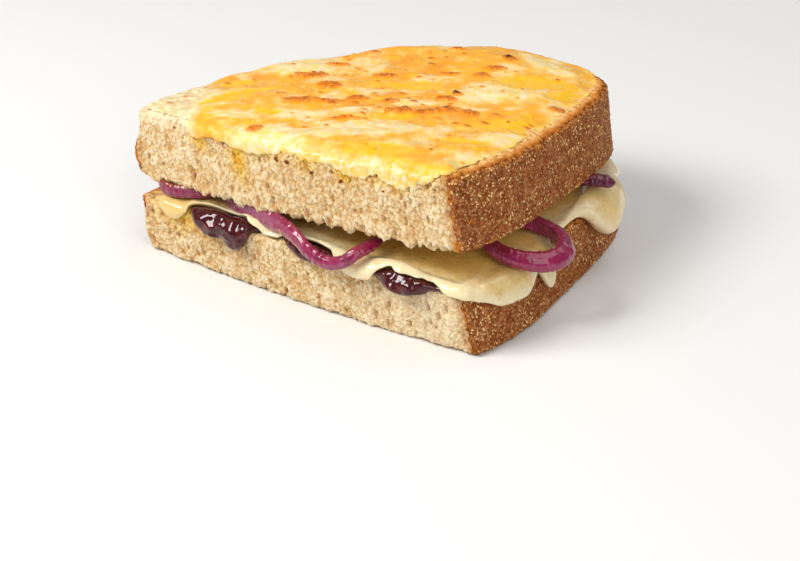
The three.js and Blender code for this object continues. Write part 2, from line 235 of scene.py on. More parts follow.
def bell(edge, at, width, power=2.0):
    # e to the minus (distance along the edge over width) squared, carried on past the edge's start
    apart = np.abs(edge["along"] - at)
    return np.exp(-(np.minimum(apart, wholeLength - apart) / width) ** power)


def edgeNoise(edge, size, seed):
    # noise that changes along the edge alone
    return layeredNoise(np.pad(edge["p"], ((0, 0), (0, 1))), size, seed)


def overSkin(edge, w, lift, thick):
    # w is the way from the rim, inwards if below 0 and down the side if above; lift is the height over
    # the skin. The rim is a quarter circle, the flat part runs towards the middle and the side straight
    # down
    rim = loaf["rim"]
    quarter = (rim + loaf["clear"]) * np.pi / 2
    turn = np.clip((w + rim) / (rim + loaf["clear"]), 0, np.pi / 2)
    drop = np.maximum(0, w + rim - quarter)
    flat = w <= -rim
    out = np.where(flat, w, -rim + (rim + lift) * np.sin(turn))[..., None]
    z = np.where(flat, thick + lift, thick - rim + (rim + lift) * np.cos(turn) - drop)
    middle = np.array(loaf["middle"])
    inwards = middle + (edge["p"] - middle) * (1 + out / edge["reach"][:, None])
    xy = np.where(out < 0, inwards, edge["p"] + edge["out"] * out)
    return np.concatenate([xy, z[..., None]], axis=-1)


def leanOver(points, piece):
    # the knife went in slanted: a slice's lower face is shifted, the more so towards the +x end of the
    # cut, and the domed end is drawn out by the square of the way into it
    high = points[..., 2] / piece["thick"]
    share = (points[..., 0] / loaf["cut"] + 0.5) * (1 - high)
    low, top, between = piece["end"]
    waist = np.exp(-((high - loaf["endWaist"]) / loaf["endSpread"]) ** 2)
    drawn = mix(low, top, np.clip(high, 0, 1)) + between * waist
    endShare = np.clip((loaf["endFrom"] - points[..., 0]) / loaf["endLong"], 0, 1.1) ** 2
    share = share * (1 - 0.35 * smooth(points[..., 1], loaf["cutAt"], 30))
    moved = points + share[..., None] * np.array([*piece["lean"], 0])
    moved[..., 0] -= drawn * endShare
    return moved


def settleUpper(points):
    # the upper rim sinks by up to 1.7 mm along the middle of the base crust, where the slice was pressed
    # in the pan, and by up to 0.7 mm towards the cut
    x, y, z = points[..., 0], points[..., 1], points[..., 2]
    byCrust = ((0.7 * smooth(x, 28, 54) + 1.0 * smooth(x, 46, 57)) * np.exp(-((y + 6) / 24) ** 2)
               * smooth(z, 9, 19))
    byCut = 0.7 * smooth(-y, 34.0, 41.5) ** 2 * smooth(z, 12, 20)
    return np.stack([x, y, z - np.maximum(byCrust, byCut)], axis=-1)


def turnUpper(points):
    # the upper slice lies askew: turned about x, then y, then z, and moved to its place
    c, s = np.cos(np.radians(upperSlice["turn"])), np.sin(np.radians(upperSlice["turn"]))
    aboutX = np.array([[1, 0, 0], [0, c[0], -s[0]], [0, s[0], c[0]]])
    aboutY = np.array([[c[1], 0, s[1]], [0, 1, 0], [-s[1], 0, c[1]]])
    aboutZ = np.array([[c[2], -s[2], 0], [s[2], c[2], 0], [0, 0, 1]])
    return points @ (aboutZ @ aboutY @ aboutX).T + np.array(upperSlice["place"])


def inPlace(points, piece):
    # from a slice worked out flat on the floor to where it lies in the stack
    points = leanOver(points, piece)
    return turnUpper(settleUpper(points)) if piece is upperSlice else points


rowShift = np.array(loaf["shift"])


def makePiece(name, points, masks, material, node):
    # rings of points (rows, columns, 3) become one closed skin: quads between the rings, and a fan to the
    # middle of the first ring and of the last; masks are shares kept on the points for the material
    rows, columns = points.shape[:2]
    poles = [points[0].mean(axis=0), points[-1].mean(axis=0)]
    # where the skin's signed volume, the sum of (place . cross of the quad's diagonals), is below 0, it
    # is turned over
    nextColumn = np.roll(points, -1, axis=1)
    facing = np.cross(nextColumn[1:] - points[:-1], points[1:] - nextColumn[:-1])
    if np.sum(facing * (points[:-1] - points.mean(axis=(0, 1)))) < 0:
        points = points[:, ::-1]
        masks = {mask: np.broadcast_to(values, (rows, columns))[:, ::-1]
                 for mask, values in masks.items()}
    vertices = (np.concatenate([points.reshape(-1, 3), poles]) + rowShift) / 1000
    i = np.arange(columns)
    after = (i + 1) % columns
    starts = (np.arange(rows - 1) * columns)[:, None]
    quads = np.stack([starts + i, starts + after, starts + columns + after, starts + columns + i],
                     axis=-1)
    last = (rows - 1) * columns
    firstFan = np.stack([np.full(columns, rows * columns), after, i], axis=-1)
    lastFan = np.stack([np.full(columns, rows * columns + 1), last + i, last + after], axis=-1)
    corners = np.concatenate([quads.ravel(), firstFan.ravel(), lastFan.ravel()])
    sides = np.concatenate([np.full(quads.size // 4, 4), np.full(2 * columns, 3)])
    mesh = bpy.data.meshes.new(name)
    mesh.vertices.add(len(vertices))
    mesh.vertices.foreach_set("co", vertices.ravel())
    mesh.loops.add(len(corners))
    mesh.loops.foreach_set("vertex_index", corners)
    mesh.polygons.add(len(sides))
    mesh.polygons.foreach_set("loop_start", np.concatenate([[0], np.cumsum(sides)[:-1]]))
    mesh.polygons.foreach_set("use_smooth", np.ones(len(sides), bool))
    for mask, values in masks.items():
        values = np.broadcast_to(values, (rows, columns))
        ends = [values[0].mean(), values[-1].mean()]
        layer = mesh.attributes.new(mask, "FLOAT", "POINT")
        layer.data.foreach_set("value", np.concatenate([values.ravel(), ends]).astype(np.float32))
    mesh.update(calc_edges=True)
    mesh.validate()
    mesh.materials.append(material)
    piece = bpy.data.objects.new(name, mesh)
    bpy.context.scene.collection.objects.link(piece)
    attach(piece, "root")
    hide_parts(node)
    triangles = 2 * quads.size // 4 + 2 * columns
    low, high = (vertices.min(axis=0) * 1000).round(1), (vertices.max(axis=0) * 1000).round(1)
    print(f"{name}: {triangles} triangles, from {low} to {high} mm")


def feed(tree, socket, value):
    # a number or a colour goes into the socket, and another socket is linked to it
    if isinstance(value, bpy.types.NodeSocket):
        tree.links.new(value, socket)
    elif socket.type == "RGBA":
        socket.default_value = (*value[:3], 1)
    else:
        socket.default_value = value


def addNode(tree, kind, values=None, **settings):
    # a shader node with its settings, and its inputs given by name or number
    node = tree.nodes.new("ShaderNode" + kind)
    for key, value in settings.items():
        setattr(node, key, value)
    for key, value in (values or {}).items():
        feed(tree, node.inputs[key], value)
    return node


def blend(tree, share, first, second, how="MIX"):
    # first where share is 0, second where it is 1
    return addNode(tree, "Mix", {0: share, 6: first, 7: second}, data_type="RGBA",
                   blend_type=how).outputs[2]


def combine(tree, how, first, second):
    # one number from two, by that sum
    return addNode(tree, "Math", {0: first, 1: second}, operation=how).outputs[0]


def spread(tree, value, low, high, toLow=0.0, toHigh=1.0, ease="LINEAR"):
    # low to high becomes toLow to toHigh, and no further
    values = {"Value": value, "From Min": low, "From Max": high, "To Min": toLow, "To Max": toHigh}
    return addNode(tree, "MapRange", values, interpolation_type=ease).outputs["Result"]


def noiseOn(tree, vector, scale, detail=4.0, roughness=0.5):
    # soft noise from 0 to 1, mostly near 0.5
    values = {"Vector": vector, "Scale": scale, "Detail": detail, "Roughness": roughness}
    return addNode(tree, "TexNoise", values).outputs["Fac"]


def perMm(size):
    # a texture's scale, in metres, for features of that size in millimetres
    return 1000 / size


def newGroup(name, inputs, outputs):
    # an empty node group; inputs and outputs are (name, kind, value) and (name, kind)
    tree = bpy.data.node_groups.new(name, "ShaderNodeTree")
    for label, kind, value in inputs:
        socket = tree.interface.new_socket(name=label, in_out="INPUT", socket_type="NodeSocket" + kind)
        if value is not None:
            socket.default_value = value
    for label, kind in outputs:
        tree.interface.new_socket(name=label, in_out="OUTPUT", socket_type="NodeSocket" + kind)
    return tree, tree.nodes.new("NodeGroupInput").outputs, tree.nodes.new("NodeGroupOutput").inputs


def makeGrainGroup():
    # scattered grains: a dot where the nearest random point is close, kept for the drawn share of the
    # points
    tree, given, result = newGroup(
        "scatteredGrains",
        [("Vector", "Vector", None), ("Scale", "Float", 1000.0), ("Drawn", "Float", 0.5),
         ("Size", "Float", 0.4)],
        [("Mask", "Float"), ("Height", "Float")])
    cells = addNode(tree, "TexVoronoi", {"Vector": given["Vector"], "Scale": given["Scale"]},
                    feature="F1")
    draw = addNode(tree, "SeparateColor", {"Color": cells.outputs["Color"]}).outputs["Red"]
    kept = combine(tree, "LESS_THAN", draw, given["Drawn"])
    near = spread(tree, cells.outputs["Distance"], given["Size"], 0.0, ease="SMOOTHSTEP")
    mask = combine(tree, "MULTIPLY", kept, near)
    tree.links.new(mask, result["Mask"])
    tree.links.new(combine(tree, "MULTIPLY", mask, draw), result["Height"])
    return tree


def makeUnevenGroup():
    # a colour that drifts towards another in soft patches, and the drift itself
    grey = (0.5, 0.5, 0.5, 1)
    tree, given, result = newGroup(
        "unevenColour",
        [("Vector", "Vector", None), ("Base", "Color", grey), ("Other", "Color", grey),
         ("Scale", "Float", 300.0), ("Low", "Float", 0.4), ("High", "Float", 0.65),
         ("Amount", "Float", 1.0)],
        [("Color", "Color"), ("Mask", "Float")])
    noise = noiseOn(tree, given["Vector"], given["Scale"], roughness=0.6)
    patch = spread(tree, noise, given["Low"], given["High"], ease="SMOOTHSTEP")
    share = combine(tree, "MULTIPLY", patch, given["Amount"])
    tree.links.new(blend(tree, share, given["Base"], given["Other"]), result["Color"])
    tree.links.new(share, result["Mask"])
    return tree


def makeOilGroup():
    # an oily film that lies in patches: roughness runs from dry to wet
    tree, given, result = newGroup(
        "oilyFilm",
        [("Vector", "Vector", None), ("Scale", "Float", 300.0), ("Dry", "Float", 0.5),
         ("Wet", "Float", 0.15)],
        [("Roughness", "Float")])
    noise = noiseOn(tree, given["Vector"], given["Scale"], 3.0)
    tree.links.new(spread(tree, noise, 0.38, 0.62, given["Dry"], given["Wet"]), result["Roughness"])
    return tree


grainGroup = makeGrainGroup()
unevenGroup = makeUnevenGroup()
oilGroup = makeOilGroup()


def newLook(name, specular, under=None, coat=None):
    # a material being made: its tree, its shader and its coordinates. Under is how much light goes below
    # the surface, how far in metres, and the share of each colour; coat is the wet film's weight,
    # roughness and IOR
    material = bpy.data.materials.new(name)
    material.use_nodes = True
    shader = material.node_tree.nodes["Principled BSDF"]
    fixed = {"Specular IOR Level": specular}
    fixed.update(zip(("Subsurface Weight", "Subsurface Scale", "Subsurface Radius"), under or ()))
    fixed.update(zip(("Coat Weight", "Coat Roughness", "Coat IOR"), coat or ()))
    for key, value in fixed.items():
        shader.inputs[key].default_value = value
    place = addNode(material.node_tree, "TexCoord").outputs["Object"]
    return SimpleNamespace(material=material, tree=material.node_tree, shader=shader, place=place)


def maskOf(look, name):
    # a share that the piece keeps on its points
    return addNode(look.tree, "Attribute", attribute_name=name).outputs["Fac"]


def placeGroup(look, group, **values):
    # a shared group in this material with its own values
    return addNode(look.tree, "Group", {"Vector": look.place, **values}, node_tree=group).outputs


def uneven(look, base, other, size, low, high, amount=1.0):
    # base that drifts towards other in patches of that size in mm, as noise runs from low to high
    return placeGroup(look, unevenGroup, Base=base, Other=other, Scale=perMm(size), Low=low, High=high,
                      Amount=amount)["Color"]


def grains(look, size, drawn, radius):
    # dots in cells of that size in mm; the radius is a share of the size
    return placeGroup(look, grainGroup, Scale=perMm(size), Drawn=drawn, Size=radius)


def oil(look, size, dry, wet):
    # roughness that runs from dry to wet in patches of that size in mm
    return placeGroup(look, oilGroup, Scale=perMm(size), Dry=dry, Wet=wet)["Roughness"]


def noiseOver(look, size, detail=4.0):
    return noiseOn(look.tree, look.place, perMm(size), detail)


def product(look, first, second):
    return combine(look.tree, "MULTIPLY", first, second)


def tint(look, color, mask, other, amount=1.0, span=None, how="MIX"):
    # the colour goes towards another by a mask, given by name or as a socket: by that amount of the mask,
    # or from none to that amount while the mask runs over the span
    share = maskOf(look, mask) if isinstance(mask, str) else mask
    if span:
        share = spread(look.tree, share, *span, 0.0, amount)
    elif amount < 1:
        share = product(look, share, amount)
    return blend(look.tree, share, color, other, how)


def finishLook(look, color, roughness, height, reliefMm):
    # height from 0 to 1 stands reliefMm millimetres high
    bump = addNode(look.tree, "Bump", {"Height": height, "Strength": 1.0, "Distance": reliefMm / 1000})
    for key, value in (("Base Color", color), ("Roughness", roughness),
                       ("Normal", bump.outputs["Normal"])):
        feed(look.tree, look.shader.inputs[key], value)
    return look.material


bread = dict(
    # wall is the crumb with painted highlight on its raised grains and strands; hollow and pore are
    # painted shade in its cells and holes
    crumb=(0.68, 0.475, 0.235), wall=(0.90, 0.765, 0.52), hollow=(0.58, 0.32, 0.11),
    pore=(0.48, 0.19, 0.042), soaked=(0.97, 0.76, 0.12), toast=(0.50, 0.21, 0.045),
    speck=(0.20, 0.05, 0.01),
    knob=0.8, knobHigh=0.40,          # size and height of the crumb's grains, mm
    cell=1.7, cellDeep=0.85,          # size and depth of its cells, mm
    fine=0.42, fineHigh=0.10,
    strand=1.5, strandHigh=0.30,      # upright strands
    upright=0.48,                     # below 1 the cells stand taller than wide
    swell=0.35,
    pit=3.4, pitDeep=1.0,             # larger holes
    tear=3.0,                         # how far the upper slice's lower edge hangs down in tags, mm
    # scorched crumbs on the upper slice's cut: x, depth from the top, half length, half height, turn
    specks=[(-2.2, 4.4, 0.8, 1.0, 0), (1.0, 4.6, 1.0, 0.8, 0), (8.3, 6.2, 1.3, 0.6, -20),
            (17.3, 6.9, 1.0, 0.6, 0), (-36.9, 2.8, 0.5, 0.45, 0), (30, 6.8, 0.6, 0.4, 0)],
    columns=(450, 150),               # on the cut and round the crust
    faceRows=9, sideRows=94,          # on each face and up the side
)
crust = dict(
    brown=(0.28, 0.070, 0.013), dark=(0.085, 0.018, 0.003), fleck=(1.00, 0.68, 0.29),
    tan=(0.50, 0.20, 0.070), scorch=(0.15, 0.034, 0.005), orange=(0.58, 0.20, 0.03),
    golden=(0.84, 0.55, 0.22),
    fleckSize=0.95,                   # size of the light grains on it, mm
    grain=0.85, grainHigh=0.26,       # lumps that the flecks sit on
    onCut=1.7,                        # width of its section on the cut, mm
    onFace=8.4,                       # how far the toasted fringe runs in over the faces, mm
    covers=(10.4, 8.2),               # where the crumb dives under it on the faces, mm from the rim
    sunk=1.2,                         # and how deep it does so
    spare=3.4,                        # how far the band's ends run on over the cut, inside the crumb
    drawnBack=3.2,                    # how far the crumb comes out where the crust is missing on the cut
    wall=1.4,                         # distance of the hidden inner wall from the faces
    columns=790, faceRows=15, sideRows=60, wallRows=6,
)


def crumbRelief(skin, seed):
    # open crumb, height in mm: grains of two sizes stand out by (half a cell minus the distance to their
    # middles), some upright cells sink in between them, lumps and slow swells rise, and a few larger
    # holes go deep
    p = skin + seed
    warped = p + 0.35 * layeredNoise(p, 1.6, seed + 5)[..., None]
    q = warped * np.array([1, 1, bread["upright"]])
    knobs, shade = nearestCells(warped * np.array([1, 1, 0.72]), bread["knob"], seed + 10)
    fine, _ = nearestCells(p, bread["fine"], seed + 15)
    near, share = nearestCells(q, bread["cell"], seed + 20)
    hollow = smooth(near, 0.5, 0.1) * smooth(share, 0.3, 0.9)
    deep = pits(q, bread["pit"], seed + 30, 0.25, 0.34)
    lumps = layeredNoise(p * np.array([1, 1, 0.6]), 2.4, seed + 40)
    strands = layeredNoise(warped * np.array([1, 1, 0.28]), bread["strand"], seed + 45, 2)
    height = (bread["swell"] * layeredNoise(p, 6.0, seed + 50) + 0.30 * lumps
              + bread["strandHigh"] * strands + bread["knobHigh"] * (0.5 - knobs) * (0.7 + 1.3 * shade)
              + bread["fineHigh"] * (0.5 - fine) * 2
              - bread["cellDeep"] * hollow - bread["pitDeep"] * deep + 0.1)
    # high sets painted light and shade: more on the raised grains and strands, less in the cells; pore is
    # painted shade in the cells and larger holes
    high = np.clip(0.64 + 0.3 * lumps + 0.3 * strands + 1.1 * (0.42 - knobs) + 0.25 * (shade - 0.5)
                   - 0.5 * hollow, 0, 1)
    pore = np.clip(0.7 * smooth(hollow, 0.5, 1.0) + 0.8 * deep, 0, 1)
    return height, high, pore


def profileRows(thick, faceRows, sideRows, power):
    # one half section of a slice, from the lower face out, round the rim, up the side, round the upper
    # rim and back: the way in over a face from 1 to 0 by that power, the way in round the rim in mm, z,
    # and how far the skin looks outwards and upwards there
    blunt = loaf["rim"] * 1.25
    faces = (1 - np.linspace(0, 1, faceRows + 2)[1:-1]) ** power
    arc = np.linspace(0, np.pi / 2, 7)[1:-1]
    none, one = np.zeros(faceRows), np.ones(faceRows)
    side = np.linspace(blunt, thick - blunt, sideRows)
    ways = [faces, 0 * arc, 0 * side, 0 * arc, faces[::-1]]
    blunted = [blunt * one, blunt * (1 - np.sin(arc)), 0 * side, blunt * (1 - np.cos(arc)), blunt * one]
    z = [none, blunt * (1 - np.cos(arc)), side, thick - blunt * (1 - np.sin(arc)), thick * one]
    lookOut = [none, np.sin(arc), 1 + 0 * side, np.cos(arc), none]
    lookUp = [-one, -np.cos(arc), 0 * side, np.sin(arc), one]
    return [np.concatenate(parts)[:, None] for parts in (ways, blunted, z, lookOut, lookUp)]


def skinAt(edge, inwards, blunted, z):
    # from the rim inwards: first along the edge's own normal, then towards the middle
    middle = np.array(loaf["middle"])
    rim = edge["p"] - edge["out"] * blunted[..., None]
    xy = middle + (rim - middle) * (1 - inwards / edge["reach"])[..., None]
    return np.concatenate([xy, np.broadcast_to(z[..., None], (*xy.shape[:2], 1))], axis=-1)


def leftEnd(edge, skin, z, piece):
    # at the cut's domed end the crust shows on the cut in one patch only: noise for its border, 1 near
    # that end, and 1 where the crust is missing there
    seed, (low, high, strength) = piece["seed"], piece["onLeft"]
    wander = layeredNoise(skin, 2.6, seed + 61) + 0.5 * layeredNoise(skin, 0.9, seed + 62)
    signed = np.where(edge["along"] > wholeLength / 2, edge["along"] - wholeLength, edge["along"])
    near = smooth(signed, -9, -2) * (signed < 20)
    patch = smooth(z + wander, low - 2, low + 1) * smooth(z + wander, high + 2, high - 1)
    return wander, near, near * (1 - strength * patch)


def raggedRim(skin, z, inwards, piece):
    # torn lower edge: tags hang under the cut's lower rim, or are lifted where the slice stands on the
    # floor
    flat, seed = skin * np.array([1, 1, 0]), piece["seed"]
    tags = (0.5 * smooth(layeredNoise(flat, 3.4, seed + 90), -0.4, 0.7)
            + 0.32 * smooth(layeredNoise(flat, 1.5, seed + 91, 2), -0.25, 0.6)
            + 0.18 * smooth(layeredNoise(flat, 0.7, seed + 92, 2), -0.3, 0.5))
    nearRim = smooth(z, 4.0, 0.4) * smooth(inwards, 5, 0)
    return (0.35 * tags if piece["onFloor"] else -(tags - 0.2)) * bread["tear"] * nearRim


def carveSkin(skin, edge, height, lookOut, lookUp, ragged, piece):
    # the skin moves by the height the way that it looks, its lower rim by the tags as well, and none
    # below the floor
    points = skin.copy()
    points[..., :2] += edge["out"] * (height * lookOut)[..., None]
    points[..., 2] += height * lookUp + ragged
    if piece["onFloor"]:
        points[..., 2] = np.maximum(points[..., 2], 0)
    return points


def makeCrumb(piece, material):
    # the whole slice; the crust is a piece of its own that lies over it, so the crumb is sunk there
    edge, seed, thick = sliceEdge(*bread["columns"]), piece["seed"], piece["thick"]
    ways, blunted, z, lookOut, lookUp = profileRows(thick, bread["faceRows"], bread["sideRows"], 2.0)
    inwards = ways * (edge["reach"] - 1)
    skin = skinAt(edge, inwards, blunted + 0 * inwards, z + 0 * inwards)
    inwards = inwards + blunted * (1 - lookOut)
    height, high, pore = crumbRelief(skin, seed)
    fromCrust = edge["fromCrust"] + 0 * inwards
    bare = leftEnd(edge, skin, z, piece)[2]
    covered = smooth(fromCrust + crust["drawnBack"] * bare, 1.6, -0.4) * smooth(inwards, *crust["covers"])
    onFace = (np.abs(lookUp) > 0.9) & (inwards > 3)
    height = np.where(onFace, 0.35 * height, height) * (1 - 0.7 * covered) - 0.2 - crust["sunk"] * covered
    ragged = raggedRim(skin, z, inwards, piece) * (1 - covered) * smooth(fromCrust, 0, 4)
    points = carveSkin(skin, edge, height, lookOut, lookUp, ragged, piece)
    x, z = skin[..., 0], skin[..., 2]
    soak = np.zeros_like(pore)
    wander = layeredNoise(skin, 2.4, seed + 60)
    for atX, depth, halfWide, strength in piece["soak"]:
        near = np.exp(-((x - atX) / halfWide) ** 2) * (fromCrust > 0)
        soak = np.maximum(soak, strength * near * smooth(thick - z + 2.2 * wander, depth, 0.4 * depth))
    toast = (smooth(inwards, 12, 2) * (np.abs(lookUp) > 0.5) * smooth(fromCrust, 3, -3)
             + 0.8 * smooth(fromCrust + 0.8 * wander, 3.6, 1.2) * (inwards < 3)) * (1 - 0.9 * bare)
    # paler towards the wall colour: painted light on the lower slice, paler towards the cut's +x end; on
    # the upper slice a pale strip along the top at the left end
    if piece["onFloor"]:
        paleAndPaintedLight, specks = 0.6 * smooth(x, 8, 34), 0 * x
    else:
        paleAndPaintedLight = smooth(z + 0.8 * wander, 15.5, 18.5) * smooth(x, -27, -32)
        specks = spotNear(x, thick - z, bread["specks"], 0.5 * layeredNoise(skin, 0.6, seed + 64))
        specks = smooth(specks, 0, 0.4) * (fromCrust > 0)
    masks = dict(high=high, pore=pore, soak=soak, toast=np.clip(toast, 0, 1), paleAndPaintedLight=paleAndPaintedLight, speck=specks)
    makePiece(piece["name"] + "Crumb", inPlace(points, piece), masks, material, piece["node"])


def makeCrust(piece, material):
    # a band carried along the crust and a little way on to the cut at both ends. Its section runs in over
    # the lower face, out round the rim, up the side, over the upper rim and back inside the crumb. Its
    # ends and inner borders dive into the crumb along ragged lines
    seed, thick, onFace, wallRows = piece["seed"], piece["thick"], crust["onFace"], crust["wallRows"]
    edge = edgeAt(np.linspace(cutLength - crust["spare"], wholeLength + crust["spare"], crust["columns"]))
    ways, blunted, z, lookOut, lookUp = profileRows(thick, crust["faceRows"], crust["sideRows"], 1.2)
    none = np.zeros((wallRows, 1))
    inwards = np.concatenate([ways * (onFace + 1.2), none + onFace + 1.2])
    blunted = np.concatenate([blunted, none + 1.5])
    z = np.concatenate([z, np.linspace(thick - crust["wall"], crust["wall"], wallRows)[:, None]])
    lookOut, lookUp = np.concatenate([lookOut, none]), np.concatenate([lookUp, none])
    whole = np.zeros((len(z), crust["columns"]))
    skin = skinAt(edge, inwards + whole, blunted + whole, z + whole)
    wander, nearLeft, bare = leftEnd(edge, skin, z, piece)
    fromCrust = edge["fromCrust"] + whole
    wide = crust["onCut"] * (1 - 0.4 * nearLeft) - crust["drawnBack"] * bare
    fromRim = blunted * (1 - lookOut)
    dive = np.maximum(1.7 * smooth(fromCrust - wide - 0.9 * wander, -0.3, 1.2),
                      1.4 * smooth(inwards + fromRim - onFace - 1.3 * wander, -1.6, 0.4))
    section = np.maximum(inwards + fromRim * 0.8, fromCrust + 4.0 * bare) + 0.9 * wander
    near, share = nearestCells(skin + 0.3 * wander[..., None], crust["grain"], seed + 70)
    nearFine, shareFine = nearestCells(skin, 0.5, seed + 71)
    crumbHeight, high, _ = crumbRelief(skin, seed)
    skinHeight = (crust["grainHigh"] * (0.55 - near) * (0.4 + share) * 2
                  + 0.12 * (0.5 - nearFine) * shareFine * 2
                  + 0.25 * layeredNoise(skin, 6.0, seed + 75) + 0.14 * layeredNoise(skin, 1.8, seed + 76))
    height = mix(skinHeight - 0.35, 0.8 * crumbHeight + 0.1, smooth(section, 0.3, 2.2)) - 0.25 - dive
    ragged = raggedRim(skin, z, inwards, piece) * smooth(fromCrust, 0, 4)
    points = carveSkin(skin, edge, height, lookOut, lookUp, ragged, piece)
    # the face near the cut dives inwards as well, so that it doesn't stand out past the cut
    points[..., :2] -= edge["out"] * (dive * (1 - lookOut) * (fromCrust > 0))[..., None]
    fromFace = np.minimum(z, thick - z) + 0.7 * wander
    # valley is painted shade between the grains; high is the crumb's height, for painted shade in the
    # fringe
    masks = dict(section=np.clip(section / 5, 0, 1), high=high,
                 fleck=smooth(near, 0.42, 0.12) * (share > 0.35),
                 valley=smooth(near, 0.5, 0.85), rim=smooth(fromFace, 2.4, 0.6))
    masks = {mask: values.T for mask, values in masks.items()}
    makePiece(piece["name"] + "Crust", inPlace(points, piece).transpose(1, 0, 2), masks, material,
              piece["node"])


def makeCrumbMaterial():
    # pale walls as painted highlight on the raised crumb, painted shade in the warm hollows and
    # orange-brown pores, butter-yellow soak under the cheese
    look = newLook("breadCrumb", 0.1, under=(0.25, 0.0012, (1.0, 0.55, 0.25)))
    # painted highlight: the wall colour where the crumb stands high; painted shade: the hollow colour
    # where it lies low
    color = tint(look, bread["crumb"], "high", bread["wall"], span=(0.4, 0.95))
    color = tint(look, color, "high", bread["hollow"], 0.8, (0.45, 0.1))
    color = uneven(look, color, bread["crumb"], 3.0, 0.45, 0.65, 0.5)
    # painted shade in the cells and larger holes
    color = tint(look, color, "pore", bread["pore"], 0.75, (0.3, 1.0))
    color = tint(look, color, "soak", bread["soaked"], how="MULTIPLY")
    # painted light on the lower slice's cut towards +x, and the upper slice's pale strip
    color = tint(look, color, "paleAndPaintedLight", bread["wall"], 0.7)
    color = tint(look, color, "toast", bread["toast"], 0.8)
    # painted shade in the pinholes, which are also sunk in the bump below
    pinholes = grains(look, 1.05, 0.42, 0.36)["Mask"]
    color = tint(look, color, pinholes, bread["pore"], 0.85)
    color = tint(look, color, "speck", bread["speck"])
    fine = product(look, grains(look, 0.45, 0.7, 0.6)["Mask"], 0.5)
    height = combine(look.tree, "ADD", noiseOver(look, 0.4, 3.0), fine)
    height = combine(look.tree, "SUBTRACT", height, product(look, pinholes, 0.8))
    return finishLook(look, color, 0.85, height, 0.3)


def makeCrustMaterial():
    # brown crust full of light grains; section is 0 on the crust and grows by 0.2 each mm away from it
    look = newLook("breadCrust", 0.08)
    tree = look.tree
    color = uneven(look, crust["brown"], crust["tan"], 2.4, 0.42, 0.66, 0.75)
    color = uneven(look, color, crust["brown"], 6.0, 0.42, 0.62, 0.5)
    color = tint(look, color, noiseOver(look, 0.9), crust["dark"], 0.55, (0.50, 0.64))
    # painted shade between the grains
    color = tint(look, color, "valley", crust["dark"], 0.35)
    toasted = tint(look, crust["scorch"], noiseOver(look, 1.2), crust["orange"], span=(0.42, 0.58))
    color = tint(look, color, "rim", toasted, 0.6)
    large = grains(look, crust["fleckSize"], 0.55, 0.44)["Mask"]
    small = grains(look, crust["fleckSize"] * 0.55, 0.5, 0.46)["Mask"]
    dense = spread(tree, noiseOver(look, 7.0), 0.40, 0.58, 0.3, 1.0)
    dense = combine(tree, "MAXIMUM", dense, maskOf(look, "rim"))
    color = tint(look, color, product(look, spread(tree, large, 0.1, 0.3), dense), crust["fleck"])
    small = product(look, spread(tree, small, 0.2, 0.5), product(look, dense, 0.75))
    color = tint(look, color, small, crust["fleck"])
    color = tint(look, color, "fleck", crust["fleck"], 0.35)
    fringe = tint(look, crust["scorch"], "section", crust["orange"], span=(0.20, 0.42))
    fringe = tint(look, fringe, "section", crust["golden"], span=(0.36, 0.75))
    fringe = uneven(look, fringe, crust["orange"], 1.3, 0.46, 0.6, 0.75)
    # painted shade: orange in the fringe crumb's low places
    fringe = tint(look, fringe, "high", crust["orange"], 0.7, (0.45, 0.1))
    color = tint(look, color, "section", fringe, span=(0.06, 0.17))
    height = combine(tree, "ADD", product(look, large, 0.7), noiseOver(look, 0.35, 2.0))
    roughness = spread(tree, maskOf(look, "section"), 0.05, 0.3, 0.5, 0.8)
    return finishLook(look, color, roughness, height, 0.22)


crumbMaterial, crustMaterial = makeCrumbMaterial(), makeCrustMaterial()
for piece in (lowerSlice, upperSlice):
    makeCrumb(piece, crumbMaterial)
    makeCrust(piece, crustMaterial)
print("bread done")


def meltedLayer(edge, thick, reach, under, full, edgeRound, topRows, crowd=1):
    # underside from the middle out, a half-round lip, then the top back in. Over each point of the edge
    # the sheet ends reach mm from the rim, its underside is under(w) over the skin and it is full(w)
    # thick, and the lip is half an ellipse: w = reach - edgeRound (1 - sin a), height = under + full (1 +
    # cos a) / 2. Above 1, crowd is the power by which the top's rows crowd towards the lip. Gives the
    # points, and x, y, w and the part from the underside, 0, to the top, 1
    underRows, lipRows = 14, 14
    flatEnd = reach - edgeRound
    lowShare = 1 - (1 - np.linspace(0.05, 1, underRows)[:, None]) ** 1.8
    topShare = 1 - (1 - np.linspace(1, 0.012, topRows)[:, None]) ** crowd
    angle = np.linspace(np.pi, 0, lipRows + 2)[1:-1, None]
    lowW, topW = (mix(-edge["reach"], flatEnd, share) for share in (lowShare, topShare))
    lipW = flatEnd + edgeRound * np.sin(angle)
    w = np.concatenate([lowW, lipW, topW])
    lipPart = np.broadcast_to((1 + np.cos(angle)) / 2, lipW.shape)
    part = np.concatenate([np.zeros_like(lowW), lipPart, np.ones_like(topW)])
    flat = overSkin(edge, np.minimum(w, -loaf["rim"]), 0, thick)
    x, y = flat[..., 0], flat[..., 1]
    return overSkin(edge, w, under(x, y, w) + part * full(x, y, w), thick), x, y, w, part


chutney = dict(
    thick=0.7, edgeRound=1.7,
    drawnBack=15,                     # how far it stays from the crust's rim, mm
    # lumps over the cut: along it, width, down, thickness
    lumps=[(22.0, 7.2, 4.6, 2.6), (29.6, 5.6, 5.7, 2.6), (35, 4, 2.0, 1.4), (53, 6.5, 1.8, 1.6),
           (82, 7.5, 2.8, 2.8)],
    lump=4.6, lumpHigh=1.0,           # size and height of the pieces of fruit in it, mm
    color=(0.050, 0.0025, 0.005), red=(0.20, 0.008, 0.012), seed=(0.22, 0.04, 0.02),
    columns=(330, 120), rows=72, crowd=2.3,
)


